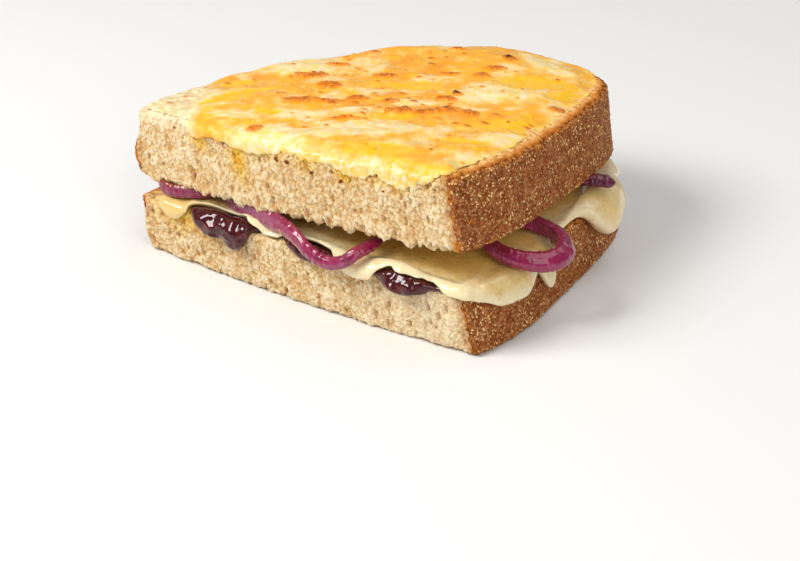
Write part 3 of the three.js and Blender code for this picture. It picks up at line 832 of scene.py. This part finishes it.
def chutneyReach(edge):
    # just behind the cut's rim, further back at its left end, far back along the crust, and down the cut
    # at lumps
    crustWay = smooth(edge["along"], loaf["cut"] - 6, loaf["cut"] + 30)
    onCut = -0.5 - 10 * bell(edge, 0, 12) - 4 * bell(edge, 38.5, 5.5, 3)
    reach = mix(onCut, -chutney["drawnBack"], crustWay)
    lumps = [(down + 0.5) * bell(edge, at, width, 2.6) for at, width, down, _ in chutney["lumps"]]
    return reach + np.max(lumps, axis=0)


def chutneyThick(edge, w):
    # an even layer, thicker by the highest lump's bell near the rim
    lumps = [high * bell(edge, at, width, 2.6) * smooth(w, -5, 0)
             for at, width, _, high in chutney["lumps"]]
    return chutney["thick"] + np.max(lumps, axis=0)


def makeChutney():
    # on its free edge, rounded pieces of fruit stand out by 0.55 minus the distance to their middles
    edge = sliceEdge(*chutney["columns"])
    reach = chutneyReach(edge) + 0.6 * edgeNoise(edge, 4.0, 7)
    points, _, _, w, part = meltedLayer(
        edge, lowerSlice["thick"], reach, lambda x, y, w: -0.2,
        lambda x, y, w: chutneyThick(edge, w) + 0.2, chutney["edgeRound"], chutney["rows"],
        chutney["crowd"])
    cells, _ = nearestCells(points * np.array([1, 1, 1.2]), chutney["lump"], 11)
    bumps = chutney["lumpHigh"] * (0.55 - cells) * 2 + 0.5 * layeredNoise(points, 2.6, 12, 2)
    free = part * smooth(w, -6, -2)
    points = points + (bumps * free)[..., None] * np.array([0.1, -0.8, 0.5])
    look = newLook("stickyChutney", 0.12, coat=(0.9, 0.03, 1.45))
    color = uneven(look, chutney["color"], chutney["red"], 2.5, 0.5, 0.7, 0.4)
    color = tint(look, color, grains(look, 1.3, 0.25, 0.5)["Mask"], chutney["seed"], 0.6)
    material = finishLook(look, color, oil(look, 1.6, 0.16, 0.05), noiseOver(look, 1.4, 2.0), 0.12)
    makePiece("chutneyLayer", inPlace(points, lowerSlice), dict(free=free), material, "chutney")


cheese = dict(
    thick=1.5, edgeRound=2.3, inset=1.0,
    # along the edge, width, how far down the side
    lobes=[(9.5, 4.2, 4.0), (37, 6, -0.5), (69, 6, 2.4), (84, 7, -0.2), (97, 5, 0.2), (112, 9, 5.4),
           (121, 5, 3.0), (130, 3.6, 8.6), (160, 5.5, 6.4), (170, 6, 3.6), (188, 8, 1.3),
           (210, 8, 0.8), (238, 10, 0.5), (292, 9, 1.8)],
    drawnBack=[(0, 4.5, 4.0), (25, 6, 2.2), (53, 5, 1.0)],
    lump=(163, 12, 3, 8, 4.2),        # along, width, w, spread, thickness: squeezed out at the back
    # pale is painted highlight on the lip; deep is painted shade under the upper slice
    cream=(0.76, 0.59, 0.29), pale=(0.86, 0.74, 0.48), deep=(0.82, 0.54, 0.13), oily=(0.66, 0.39, 0.085),
    tan=(0.42, 0.20, 0.06), amber=(0.70, 0.46, 0.13),
    columns=(330, 400), rows=84,
)


def cheeseReach(edge):
    # just behind the rim, with bells down the side at the lobes and back from it between them
    reach = -cheese["inset"] + sum(
        (down + cheese["inset"]) * bell(edge, at, width, 2.4) for at, width, down in cheese["lobes"])
    return reach - sum(back * bell(edge, at, width) for at, width, back in cheese["drawnBack"])


def cheeseUnder(edge, w):
    # on the chutney where that is, and down on the bread past its edge
    stepDown = mix(2, 12, smooth(-chutneyReach(edge), 3, 15))
    over = np.clip((chutneyReach(edge) + stepDown + 0.5 - w) / stepDown, 0, 1)
    return over * (0.3 + chutneyThick(edge, w))


def cheeseThick(edge, x, y, w):
    # an even sheet with slow waves, thicker at the rim, and a lump that was squeezed out
    at, width, lumpW, spreadW, high = cheese["lump"]
    lump = high * bell(edge, at, width) * np.exp(-((w - lumpW) / spreadW) ** 2)
    atRim = (0.9 - 0.8 * smooth(x, -24, -34)) * smooth(w, -5, 1)
    return cheese["thick"] + 0.35 * np.sin(x * 0.21 + 1) * np.sin(y * 0.17) + atRim + lump


def makeCheese():
    # slow waves of noise lift the top and push the lip outwards
    edge = sliceEdge(*cheese["columns"])
    reach = cheeseReach(edge) + 0.7 * edgeNoise(edge, 5.0, 21)
    points, x, _, w, part = meltedLayer(
        edge, lowerSlice["thick"], reach, lambda x, y, w: cheeseUnder(edge, w),
        lambda x, y, w: cheeseThick(edge, x, y, w), cheese["edgeRound"], cheese["rows"])
    waves = 0.35 * layeredNoise(points, 8.0, 23) + 0.12 * layeredNoise(points, 2.6, 24)
    outwards = np.concatenate([edge["out"] * 0.6, np.full((len(edge["along"]), 1), 0.7)], axis=1)
    points = points + (waves * part * smooth(w, -30, -12))[..., None] * outwards
    # lip: painted highlight on the lip; inside: painted shade under the upper slice, where the tan spots
    # lie too
    masks = dict(lip=smooth(w, reach - 5, reach - 1.0), inside=smooth(w, reach - 2.5, reach - 13),
                 left=smooth(x, -24, -36))
    look = newLook("meltedCheese", 0.25, under=(0.35, 0.003, (1.0, 0.7, 0.3)), coat=(0.8, 0.06, 1.45))
    color = uneven(look, cheese["cream"], cheese["oily"], 5.0, 0.46, 0.7, 0.7)
    # painted shade inside towards deep, painted highlight on the lip towards pale, and amber at the left
    # end
    for mask, other, amount in (("inside", "deep", 0.85), ("lip", "pale", 0.8), ("left", "amber", 0.75)):
        color = tint(look, color, mask, cheese[other], amount)
    color = uneven(look, color, cheese["oily"], 2.2, 0.55, 0.72, 0.5)
    spots = product(look, grains(look, 3.2, 0.3, 0.3)["Mask"], maskOf(look, "inside"))
    color = tint(look, color, spots, cheese["tan"])
    material = finishLook(look, color, oil(look, 3.0, 0.34, 0.14), noiseOver(look, 2.2, 3.0), 0.3)
    makePiece("cheeseFilling", inPlace(points, lowerSlice), masks, material, "cheese_filling")


makeChutney()
makeCheese()
print("filling done")


onion = dict(
    # dark serves the random dark patches and the painted shade; lilac is painted highlight on the ridges
    # and the inner side's own paler colour
    purple=(0.27, 0.004, 0.062), mauve=(0.26, 0.060, 0.13), lilac=(0.60, 0.15, 0.32),
    dark=(0.070, 0.003, 0.018), char=(0.24, 0.05, 0.015),
    wrinkle=0.9, wrinkleHigh=0.17, vein=0.07,
    steps=260, sides=40,
    # left: x along the cut, w and the height over the cheese; the others are places in the lower slice's
    # own frame
    left=[(-44, -10, 2.2), (-47.4, -6, 2.2), (-46, -2.8, 2.2), (-42, -1.6, 2.2), (-38, -3.0, 2.2),
          (-35.4, -7.5, 1.9)],
    front=[(-29, -34, 20.8), (-22, -37, 20.9), (-14, -39, 21.4), (-7, -40.6, 22.0), (-1.5, -42.6, 22.3),
           (3.0, -44.6, 21.9), (6.3, -45.8, 20.6), (9.6, -46.2, 19.3), (13.4, -46.2, 18.8),
           (17, -46, 19.8), (19.7, -45.2, 21.4), (21.5, -43.6, 22.8),
           (22.5, -40.5, 23.2), (22.5, -33, 22.8)],
    back=[(49, 19, 24.4), (52.5, 20.6, 25.0), (56.5, 22, 25.1), (60.4, 24.0, 24.7)],
)
# open: half the angle that the ring goes round, in degrees; droop: how much lower it is for each mm
# outwards
ring = dict(x=52.9, y=-13.0, z=21.8, across=21.6, along=19.0, droop=0.13, open=156, points=15)


def overCheese(place):
    # a point over the cheese near the cut: x along the cut, w as for the skin, and the height over the
    # cheese
    x, w, above = place
    edge = sliceEdge(200, 60)
    column = np.argmin(np.abs(edge["p"][:200, 0] - x))
    one = {key: value[column:column + 1] for key, value in edge.items()}
    w = np.full((1, 1), float(w))
    lift = cheeseUnder(one, w) + cheeseThick(one, one["p"][:, 0], one["p"][:, 1], w) + above
    return overSkin(one, w, lift, lowerSlice["thick"])[0, 0]


def ringPlaces():
    # an ellipse left open inside the gap between the slices, lower the further out it is
    angle = np.radians(np.linspace(-ring["open"], ring["open"], ring["points"]))
    outwards = np.cos(angle) * ring["across"] / 2
    return np.stack([ring["x"] + outwards, ring["y"] + np.sin(angle) * ring["along"] / 2,
                     ring["z"] - ring["droop"] * outwards], axis=-1)


def smoothPath(places, steps):
    # Catmull-Rom through the places, then cut into equal lengths
    p = np.array(places, float)
    p = np.concatenate([[2 * p[0] - p[1]], p, [2 * p[-1] - p[-2]]])
    t = np.linspace(0, 1, 24, endpoint=False)[:, None]
    parts = []
    for a, b, c, d in zip(p, p[1:], p[2:], p[3:]):
        parts.append(0.5 * (2 * b + (c - a) * t + (2 * a - 5 * b + 4 * c - d) * t ** 2
                            + (3 * b - a - 3 * c + d) * t ** 3))
    path = np.concatenate(parts + [p[-2:-1]])
    passed = lengthPassed(path)
    even = np.linspace(0, passed[-1], steps)
    return placesAlong(path, passed, even), even


def onionStrip(name, node, places, wide, tall, curl, seed, material, endTall=0.7, tallShares=(1, 1),
               faded=0, pointed=16):
    # a strip carried along a path: the section is a squared ellipse, wide across the path and tall along
    # its upright, curled like a petal, with wrinkles across it and veins along it
    steps, sides = onion["steps"], onion["sides"]
    path, passed = smoothPath(places, steps)
    t = np.linspace(0, 1, steps)
    tangent = np.gradient(path, axis=0)
    tangent /= np.linalg.norm(tangent, axis=1, keepdims=True)
    across = np.cross(tangent, [0, 0, 1])
    across /= np.linalg.norm(across, axis=1, keepdims=True)
    upright = np.cross(across, tangent)
    end = np.sin(np.pi / 2 * np.clip(np.minimum(t, 1 - t) * pointed + 0.05, 0, 1))[:, None] ** 0.7
    angle = np.linspace(0, 2 * np.pi, sides, endpoint=False)
    a, u = (np.sign(wave) * np.abs(wave) ** 0.75 for wave in (np.cos(angle), np.sin(angle)))
    shares = np.interp(t, np.linspace(0, 1, len(tallShares)), tallShares)
    high = mix(endTall, 1, np.sin(np.pi * t)) * shares * tall * (1 + 0.10 * layeredNoise(path, 6.0, seed))
    thick = wide * (1 + 0.12 * layeredNoise(path, 5.0, seed + 1))
    # the strip rolled out: the length passed, and a circle of 3 mm round it
    rolled = np.stack(np.broadcast_arrays(passed[:, None], 3.0 * np.cos(angle), 3.0 * np.sin(angle)),
                      axis=-1)
    wrinkles = layeredNoise(rolled * np.array([1, 0.25, 0.25]), onion["wrinkle"], seed + 2, 2)
    veins = np.cos(angle * 9 + 0.6 * layeredNoise(rolled, 5.0, seed + 3))
    relief = onion["wrinkleHigh"] * wrinkles + onion["vein"] * veins
    sideways = end * (thick[:, None] / 2 + relief) * a - curl * (u ** 2 - 0.4) * end
    upwards = -end * (high[:, None] / 2 + relief) * u
    points = path[:, None] + across[:, None] * sideways[..., None] + upright[:, None] * upwards[..., None]
    # ridge: painted highlight on the raised wrinkles and veins
    masks = dict(ridge=smooth(wrinkles + 0.4 * veins, -0.5, 0.9), topRim=smooth(-u, 0.45, 0.95),
                 inner=smooth(-a, 0.0, 1.0), faded=faded * smooth(t, 0.42, 0.2)[:, None])
    makePiece(name, inPlace(points, lowerSlice), masks, material, node)


def makeOnionMaterial(name, char, shaded):
    # magenta that drifts to a dark purple and to mauve, lilac on the ridges as painted highlight, a
    # charred rim, and painted shade over the whole strip by the shaded share
    look = newLook(name, 0.1, under=(0.1, 0.0015, (1.0, 0.3, 0.5)), coat=(1.0, 0.05, 1.5))
    color = uneven(look, onion["purple"], onion["dark"], 4.0, 0.46, 0.7, 0.8)
    color = uneven(look, color, onion["mauve"], 9.0, 0.5, 0.68, 0.5)
    color = tint(look, color, "faded", onion["mauve"], 0.8)
    # painted highlight on the ridges
    color = tint(look, color, "ridge", onion["lilac"], 0.25, (0.5, 1.0))
    color = tint(look, color, "inner", onion["lilac"], 0.15)
    # painted shade: the whole strip darkened by the shaded share
    color = tint(look, color, shaded, onion["dark"])
    color = tint(look, color, "topRim", onion["char"], char)
    return finishLook(look, color, oil(look, 1.8, 0.30, 0.08), noiseOver(look, 1.1, 3.0), 0.30)


# the last number is painted shade, for strips that lie under the upper slice
friedOnion = makeOnionMaterial("friedOnion", 0.15, 0.0)
charredPaintedShadeOnion = makeOnionMaterial("charredPaintedShadeOnion", 0.9, 0.2)
paintedShadeOnion = makeOnionMaterial("paintedShadeOnion", 0.2, 0.75)
onionStrip("onionLeft", "onion_left", [overCheese(p) for p in onion["left"]], 2.2, 3.8, 0.0, 51,
           charredPaintedShadeOnion)
onionStrip("onionFront", "onion_front", onion["front"], 2.4, 4.3, 0.5, 61, friedOnion,
           tallShares=(1.8, 1.75, 1.3, 1.0, 0.8, 0.65), faded=0.9)
onionStrip("onionRing", "onion_ring", ringPlaces(), 3.7, 5.2, 0.6, 71, friedOnion)
onionStrip("onionBack", "onion_back", onion["back"], 3.6, 3.2, 0.0, 81, paintedShadeOnion, 1.0, pointed=5)
print("onion done")


topping = dict(
    thick=1.3, edgeRound=1.4,
    lobes=[(22, 4.5, 2.2), (40, 8, 2.8), (57, 6, 1.6), (71, 5.5, 2.8), (85, 5, 3.8)],
    mounds=[(-14, 34, 15, 2.2), (14, 38, 16, 2.4), (-32, 6, 9, 1.1), (30, 14, 13, 0.8), (2, 8, 14, 0.7),
            (-20, -22, 11, 0.8), (26, -26, 13, 0.5)],
    inset=2.2,            # how far it stays behind the rim, mm
    overCut=4.0,          # how far it runs on over the cut
    byCrust=4.6,          # and how far it stays from the base crust
    byCrustEnd=(178, 200),            # between these lengths along the edge that ends
    cutStart=(15, 19), soakStart=(40, 46),   # between these the cut's melted front and its runs begin
    backLobes=[(215, 28, 1.4), (275, 14, 0.9)],   # along the edge, width, outwards
    thinLine=(0.55, -40.0), thinFrom=-27.0,  # the slanting line past which it thins out at the left end
    # x, y, half length, half width, turn
    blisters=[(-21.6, 2.3, 5.2, 2.6, 35), (-13.3, -2.8, 4.2, 2.4, 20), (-13.6, -17, 4.4, 2.6, 40),
              (-6.2, -13, 4.0, 1.8, 30), (-0.4, -7.6, 3.2, 1.8, 20), (-10.8, -39.3, 2.4, 1.6, 10),
              (5.2, -21.7, 4.6, 1.2, 25), (-21, 13, 4.2, 1.5, 30), (-16.7, 24.6, 3.0, 1.6, 20),
              (20.7, 4, 3.2, 2.0, 0), (25.4, -3.4, 4.2, 2.2, 30), (32.1, -2.1, 3.6, 2.0, 10),
              (21.2, -7.7, 3.4, 1.8, 30), (15.3, -9.4, 4.4, 2.4, 35), (7.7, -5, 3.0, 1.6, 20),
              (10.6, 20.6, 3.4, 1.4, 25), (19.6, 23.7, 2.8, 2.0, 0), (20.8, 29.4, 3.4, 1.6, 30),
              (20.3, 37.9, 2.2, 2.0, 0), (-3.7, 10.9, 3.4, 1.6, 20), (3.3, 37.9, 2.6, 1.2, 0),
              (48.5, 15.5, 2.8, 1.8, 40), (21.8, 7.9, 2.0, 1.2, 0)],
    scorched=[(20.3, 37.9, 1.1, 0.9, 0), (21.8, 7.9, 1.3, 0.7, 20), (25.4, -3.4, 0.9, 0.7, 0)],
    browned=[(-36, -9, 9, 4.5, 50), (-6, 22, 20, 9, 20), (8, -6, 24, 10, 25), (2.4, 14.5, 9, 4, 30),
             (35, -4, 14, 5, 30)],
    pools=[(36, 27.1, 9.5, 4.6, 25), (45.6, 25, 5, 2.6, 60), (45.3, -2.2, 11, 3.4, 32),
           (8.2, 9, 7, 3.4, 30), (15, -14.1, 7, 2.6, 30), (-15.5, -28.4, 3.6, 2.2, 20),
           (27, -35.2, 9, 3.2, 15), (39.7, -19.8, 7, 1.8, 30),
           (43.9, -38.6, 5, 1.4, 20), (-30, -22, 10, 3.0, 65), (-36, -14, 5, 2.6, 50)],
    cream=[(-30, 8, 14, 8, 40), (2, -34, 12, 3, 15), (13.5, -25.6, 16, 5, 25), (30.4, 14.5, 12, 7, 40),
           (47.3, -11.3, 9, 3.6, 45), (49, -27, 8, 3.4, 60), (31.8, 40.5, 12, 4, -20),
           (-6, -41, 13, 4.5, 8),
           (-40, -32, 12, 10, 60), (15, -2, 9, 2.2, 25), (-8, -25, 9, 4, 30), (-22, -33, 7, 3, 20),
           (4, -15, 7, 2.5, 30)],
    orange=(0.88, 0.40, 0.030), yellow=(0.93, 0.50, 0.004), creamy=(0.88, 0.64, 0.19),
    pale=(0.88, 0.74, 0.44), brown=(0.46, 0.105, 0.010), crisp=(0.20, 0.035, 0.004),
    toasted=(0.80, 0.27, 0.016), scorch=(0.07, 0.018, 0.006), melt=(0.88, 0.58, 0.12),
    bare=(0.74, 0.54, 0.28),
    columns=(340, 370), rows=98,
)


def toppingReach(edge, onCut, soaked, byBase):
    # where the sheet ends, even and then with its wobbles: down the cut in lobes, and behind the rim
    # elsewhere
    lobes = sum(down * bell(edge, at, width) for at, width, down in topping["lobes"])
    even = -topping["inset"] + topping["overCut"] * onCut + lobes
    for at, width, outwards in topping["backLobes"]:
        even = even + outwards * bell(edge, at, width)
    even = even - (topping["byCrust"] - topping["inset"]) * byBase
    wobble, small = edgeNoise(edge, 4.0, 101), edgeNoise(edge, 1.5, 103)
    return even, even + (0.6 + 0.9 * onCut) * wobble + (0.5 + 0.6 * soaked + 0.5 * byBase) * small


def dome(share):
    # a quarter circle's height over a share from its rim, 0, to its middle, 1
    share = np.clip(share, 0, 1)
    return np.sqrt(share * (2 - share))


def makeTopping():
    # thickness: the even layer, round mounds behind, thinner over the cut and by the crusts; on it lumps
    # of two sizes, domes for the blisters and flat pools
    edge, cutEnd = sliceEdge(*topping["columns"]), loaf["cut"]
    along = edge["along"]
    onCut = smooth(along, *topping["cutStart"]) * (1 - smooth(along, cutEnd - 8, cutEnd - 1))
    soaked = smooth(along, *topping["soakStart"]) * (along < cutEnd + 3)
    byBase = smooth(along, cutEnd, cutEnd + 5) * (1 - smooth(along, *topping["byCrustEnd"]))
    even, reach = toppingReach(edge, onCut, soaked, byBase)

    def slantwise(x, y):
        # how far to the right of the line along which the layer thins out at the cut's left end
        slant, startY = topping["thinLine"]
        return x + slant * (y - startY)

    def thickness(x, y, w):
        mounds = sum(high * np.exp(-((x - atX) ** 2 + (y - atY) ** 2) / radius ** 2)
                     for atX, atY, radius, high in topping["mounds"])
        thinEnd = 1 - 0.85 * smooth(slantwise(x, y), topping["thinFrom"], topping["thinFrom"] - 6.5)
        overCut = 1 - (0.2 + 0.62 * soaked) * smooth(w, -3.5, -0.5)
        byCrust = 1 - 0.92 * byBase * smooth(w, even - 6, even - 1)
        return (topping["thick"] + mounds) * thinEnd * overCut * byCrust + 0.3
    points, _, _, w, part = meltedLayer(edge, upperSlice["thick"], reach, lambda x, y, w: -0.3, thickness,
                                        topping["edgeRound"], topping["rows"])
    x, y = points[..., 0], points[..., 1]
    flat = np.stack([x, y, 0 * x], axis=-1)
    ragged, finer = 0.3 * layeredNoise(flat, 3.0, 110), 0.25 * layeredNoise(flat, 1.1, 111)

    def patches(key, wobble, low, high):
        # 1 inside the patches of that name and 0 outside
        return smooth(spotNear(x, y, topping[key], wobble), low, high)
    blister = spotNear(x, y, topping["blisters"], 0.10 + 1.2 * ragged + 1.6 * finer)
    dots, draw = nearestCells(flat * np.array([0.75, 1.1, 1]), 2.8, 112)
    inBrown = patches("browned", 1.5 * ragged, -0.3, 0.3)
    dotRound = np.clip(1 - dots / (0.14 + 0.20 * draw / 0.5) - finer, -1, 1)
    dot = np.where((draw < mix(0.24, 0.7, inBrown)) & (w < -2), dotRound, -1)
    pool = patches("pools", 1.6 * ragged + finer, -0.22, 0.26)
    cream = patches("cream", 2.0 * ragged + finer, -0.35, 0.4)
    cream = np.maximum(cream, 0.75 * smooth(layeredNoise(flat, 8.0, 115, 4), 0.1, 0.45)) * (1 - pool)
    browned = inBrown * smooth(layeredNoise(flat, 5.0, 116), -0.4, 0.5) * (1 - pool)
    bubbles, _ = nearestCells(flat, 2.2, 118)
    # lumps of two sizes, and along the melted front, where they break its rim up
    lumps = (0.55 * layeredNoise(flat, 8.0, 120) + 0.20 * layeredNoise(flat, 3.2, 121) + 0.15 * cream
             + 0.75 * layeredNoise(points, 2.6, 125, 2) * smooth(w, -6, -1) * onCut)
    rise = (lumps * (1 - 0.75 * pool) - 0.3 * pool + dome(blister) * (0.85 + 0.6 * (0.5 - bubbles))
            + 0.40 * dome(dot))
    # where it is thin over the cut the crumb shows through
    crumbHeight, _, _ = crumbRelief(points, upperSlice["seed"])
    thin = smooth(slantwise(x, y) + 4 * ragged, -28.5, -33.5)
    crumbly = smooth(w, -3.5, 1.0) * np.maximum(soaked, 0.25)
    rise = mix(rise, 0.7 * crumbHeight + 0.1, np.maximum(crumbly, 0.8 * thin))
    side = smooth(w, -1.5, 1.5)[..., None]
    lift = np.concatenate([edge["out"] * side, 1 - 0.8 * side], axis=-1)
    points = points + (rise * part * smooth(w, 6, 0))[..., None] * lift
    specks = spotNear(x, w, bread["specks"], ragged + finer)
    scorch = np.maximum(patches("scorched", ragged, -0.2, 0.4), 0.7 * smooth(specks, 0.0, 0.5))
    melt = np.clip(smooth(w, reach - 2.2, reach + 0.2) * np.maximum(soaked, byBase)
                   + 0.5 * smooth(w, 0, 3) * soaked, 0, 1)
    brown = np.clip(np.max([blister, 0.8 * dot, specks], axis=0) * 1.4 + 0.3, 0, 1)
    masks = dict(pool=pool, cream=cream, brown=brown, browned=browned, thin=thin, scorch=scorch,
                 melt=melt, side=crumbly * (soaked > 0.3))
    makePiece("cheeseTopping", inPlace(points, upperSlice), masks, makeToppingMaterial(),
              "cheese_topping")


def makeToppingMaterial():
    # peach-orange grilled skin with cream patches, butter-yellow pools, and brown blisters with orange
    # halos
    look = newLook("grilledCheese", 0.15, under=(0.2, 0.002, (1.0, 0.7, 0.35)), coat=(0.3, 0.06, 1.3))
    tree, shade = look.tree, topping
    color = uneven(look, shade["orange"], shade["creamy"], 4.0, 0.45, 0.72, 0.8)
    color = uneven(look, color, shade["yellow"], 6.5, 0.52, 0.66, 0.6)
    color = tint(look, color, "browned", shade["toasted"], 0.6)
    color = tint(look, color, "cream", uneven(look, shade["creamy"], shade["pale"], 2.5, 0.4, 0.6), 0.9)
    color = tint(look, color, "thin", uneven(look, shade["bare"], shade["pale"], 2.2, 0.42, 0.6))
    buttery = uneven(look, shade["yellow"], shade["melt"], 3.0, 0.45, 0.7, 0.7)
    color = tint(look, color, "pool", buttery, 0.85)
    color = tint(look, color, "melt", shade["melt"], 0.7)
    crumbly = product(look, maskOf(look, "side"), spread(tree, noiseOver(look, 3.0), 0.35, 0.6, 0.2, 0.9))
    color = tint(look, color, crumbly, uneven(look, shade["melt"], bread["wall"], 1.5, 0.42, 0.58))
    color = tint(look, color, "brown", shade["toasted"], 0.8, (0.04, 0.30))
    blistered = uneven(look, shade["brown"], shade["toasted"], 1.0, 0.4, 0.62, 0.7)
    color = tint(look, color, "brown", blistered, 0.9, (0.35, 0.8))
    inBrown = spread(tree, maskOf(look, "brown"), 0.2, 0.7)
    crisp = product(look, grains(look, 0.8, 0.45, 0.55)["Mask"], inBrown)
    color = tint(look, color, crisp, shade["crisp"], 0.8)
    color = tint(look, color, "scorch", shade["scorch"])
    color = tint(look, color, grains(look, 2.6, 0.22, 0.16)["Mask"], shade["toasted"], 0.7)
    fine = product(look, grains(look, 1.1, 0.4, 0.5)["Height"], 0.5)
    height = combine(tree, "ADD", noiseOver(look, 1.2), fine)
    dull = spread(tree, maskOf(look, "melt"), 0.2, 0.9, 0.0, 0.35)
    return finishLook(look, color, combine(tree, "ADD", oil(look, 2.5, 0.30, 0.09), dull), height, 0.07)


makeTopping()
print("topping done")


studio = dict(
    # name, azimuth from the front of the cut, elevation, distance and size in metres, watts, colour
    lamps=[("keyLight", -38, 48, 0.8, 0.34, 5.8, (1.0, 0.98, 0.95)),
           ("fillLight", 60, 35, 1.0, 0.7, 3.5, (1.0, 0.98, 0.96)),
           ("topLight", 150, 65, 0.9, 0.6, 1.8, (1.0, 1.0, 1.0))],
    lampTarget=(0, 0, 0.02), sky=0.27,
    floor=(0.80, 0.80, 0.79), floorRoughness=0.7, floorHalf=3.0,
)
# degrees, and the distance, target, lens and sensor in mm; the farthest place that is drawn, in metres
view = dict(azimuth=33.0, elevation=30.2, distance=444.4, target=(34.4, -45.4, 20.0), lens=80.0,
            sensor=36.0, farthest=20.0)


def bearing(azimuth, elevation):
    # the way from the object's middle; azimuth 0 is in front of the cut, + towards +x
    a, e = math.radians(azimuth), math.radians(elevation)
    return np.array([math.sin(a) * math.cos(e), -math.cos(a) * math.cos(e), math.sin(e)])


def placeAimed(name, data, location, target):
    # a lamp or camera at that place, which looks at the target
    thing = bpy.data.objects.new(name, data)
    thing.location = Vector(location)
    thing.rotation_euler = (Vector(target) - thing.location).to_track_quat("-Z", "Y").to_euler()
    bpy.context.scene.collection.objects.link(thing)
    return thing


def makeFloor():
    # a plain pale square under the sandwich
    floorMesh, half = bpy.data.meshes.new("floor"), studio["floorHalf"]
    floorMesh.from_pydata([(-half, -half, 0), (half, -half, 0), (half, half, 0), (-half, half, 0)], [],
                          [(0, 1, 2, 3)])
    material = bpy.data.materials.new("paleFloor")
    material.use_nodes = True
    shader = material.node_tree.nodes["Principled BSDF"]
    shader.inputs["Base Color"].default_value = (*studio["floor"], 1)
    shader.inputs["Roughness"].default_value = studio["floorRoughness"]
    floorMesh.materials.append(material)
    floor = bpy.data.objects.new("floor", floorMesh)
    bpy.context.scene.collection.objects.link(floor)


def makeLights():
    # three square soft lamps and an even white sky
    for name, azimuth, elevation, away, size, power, color in studio["lamps"]:
        data = bpy.data.lights.new(name, "AREA")
        data.energy, data.size, data.color = power, size, color
        placeAimed(name, data, away * bearing(azimuth, elevation), studio["lampTarget"])
    world = bpy.data.worlds.new("studio")
    world.use_nodes = True
    background = world.node_tree.nodes["Background"].inputs
    background["Color"].default_value = (1.0, 1.0, 1.0, 1)
    background["Strength"].default_value = studio["sky"]
    bpy.context.scene.world = world
    bpy.context.scene.view_settings.view_transform = "Standard"


def makeCamera():
    # at its bearing and distance from the target
    target = (np.array(view["target"]) + rowShift) / 1000
    data = bpy.data.cameras.new("camera")
    data.lens, data.sensor_width, data.clip_end = view["lens"], view["sensor"], view["farthest"]
    place = target + bearing(view["azimuth"], view["elevation"]) * view["distance"] / 1000
    bpy.context.scene.camera = placeAimed("camera", data, place, target)


makeFloor()
makeLights()
makeCamera()
print("stage done")
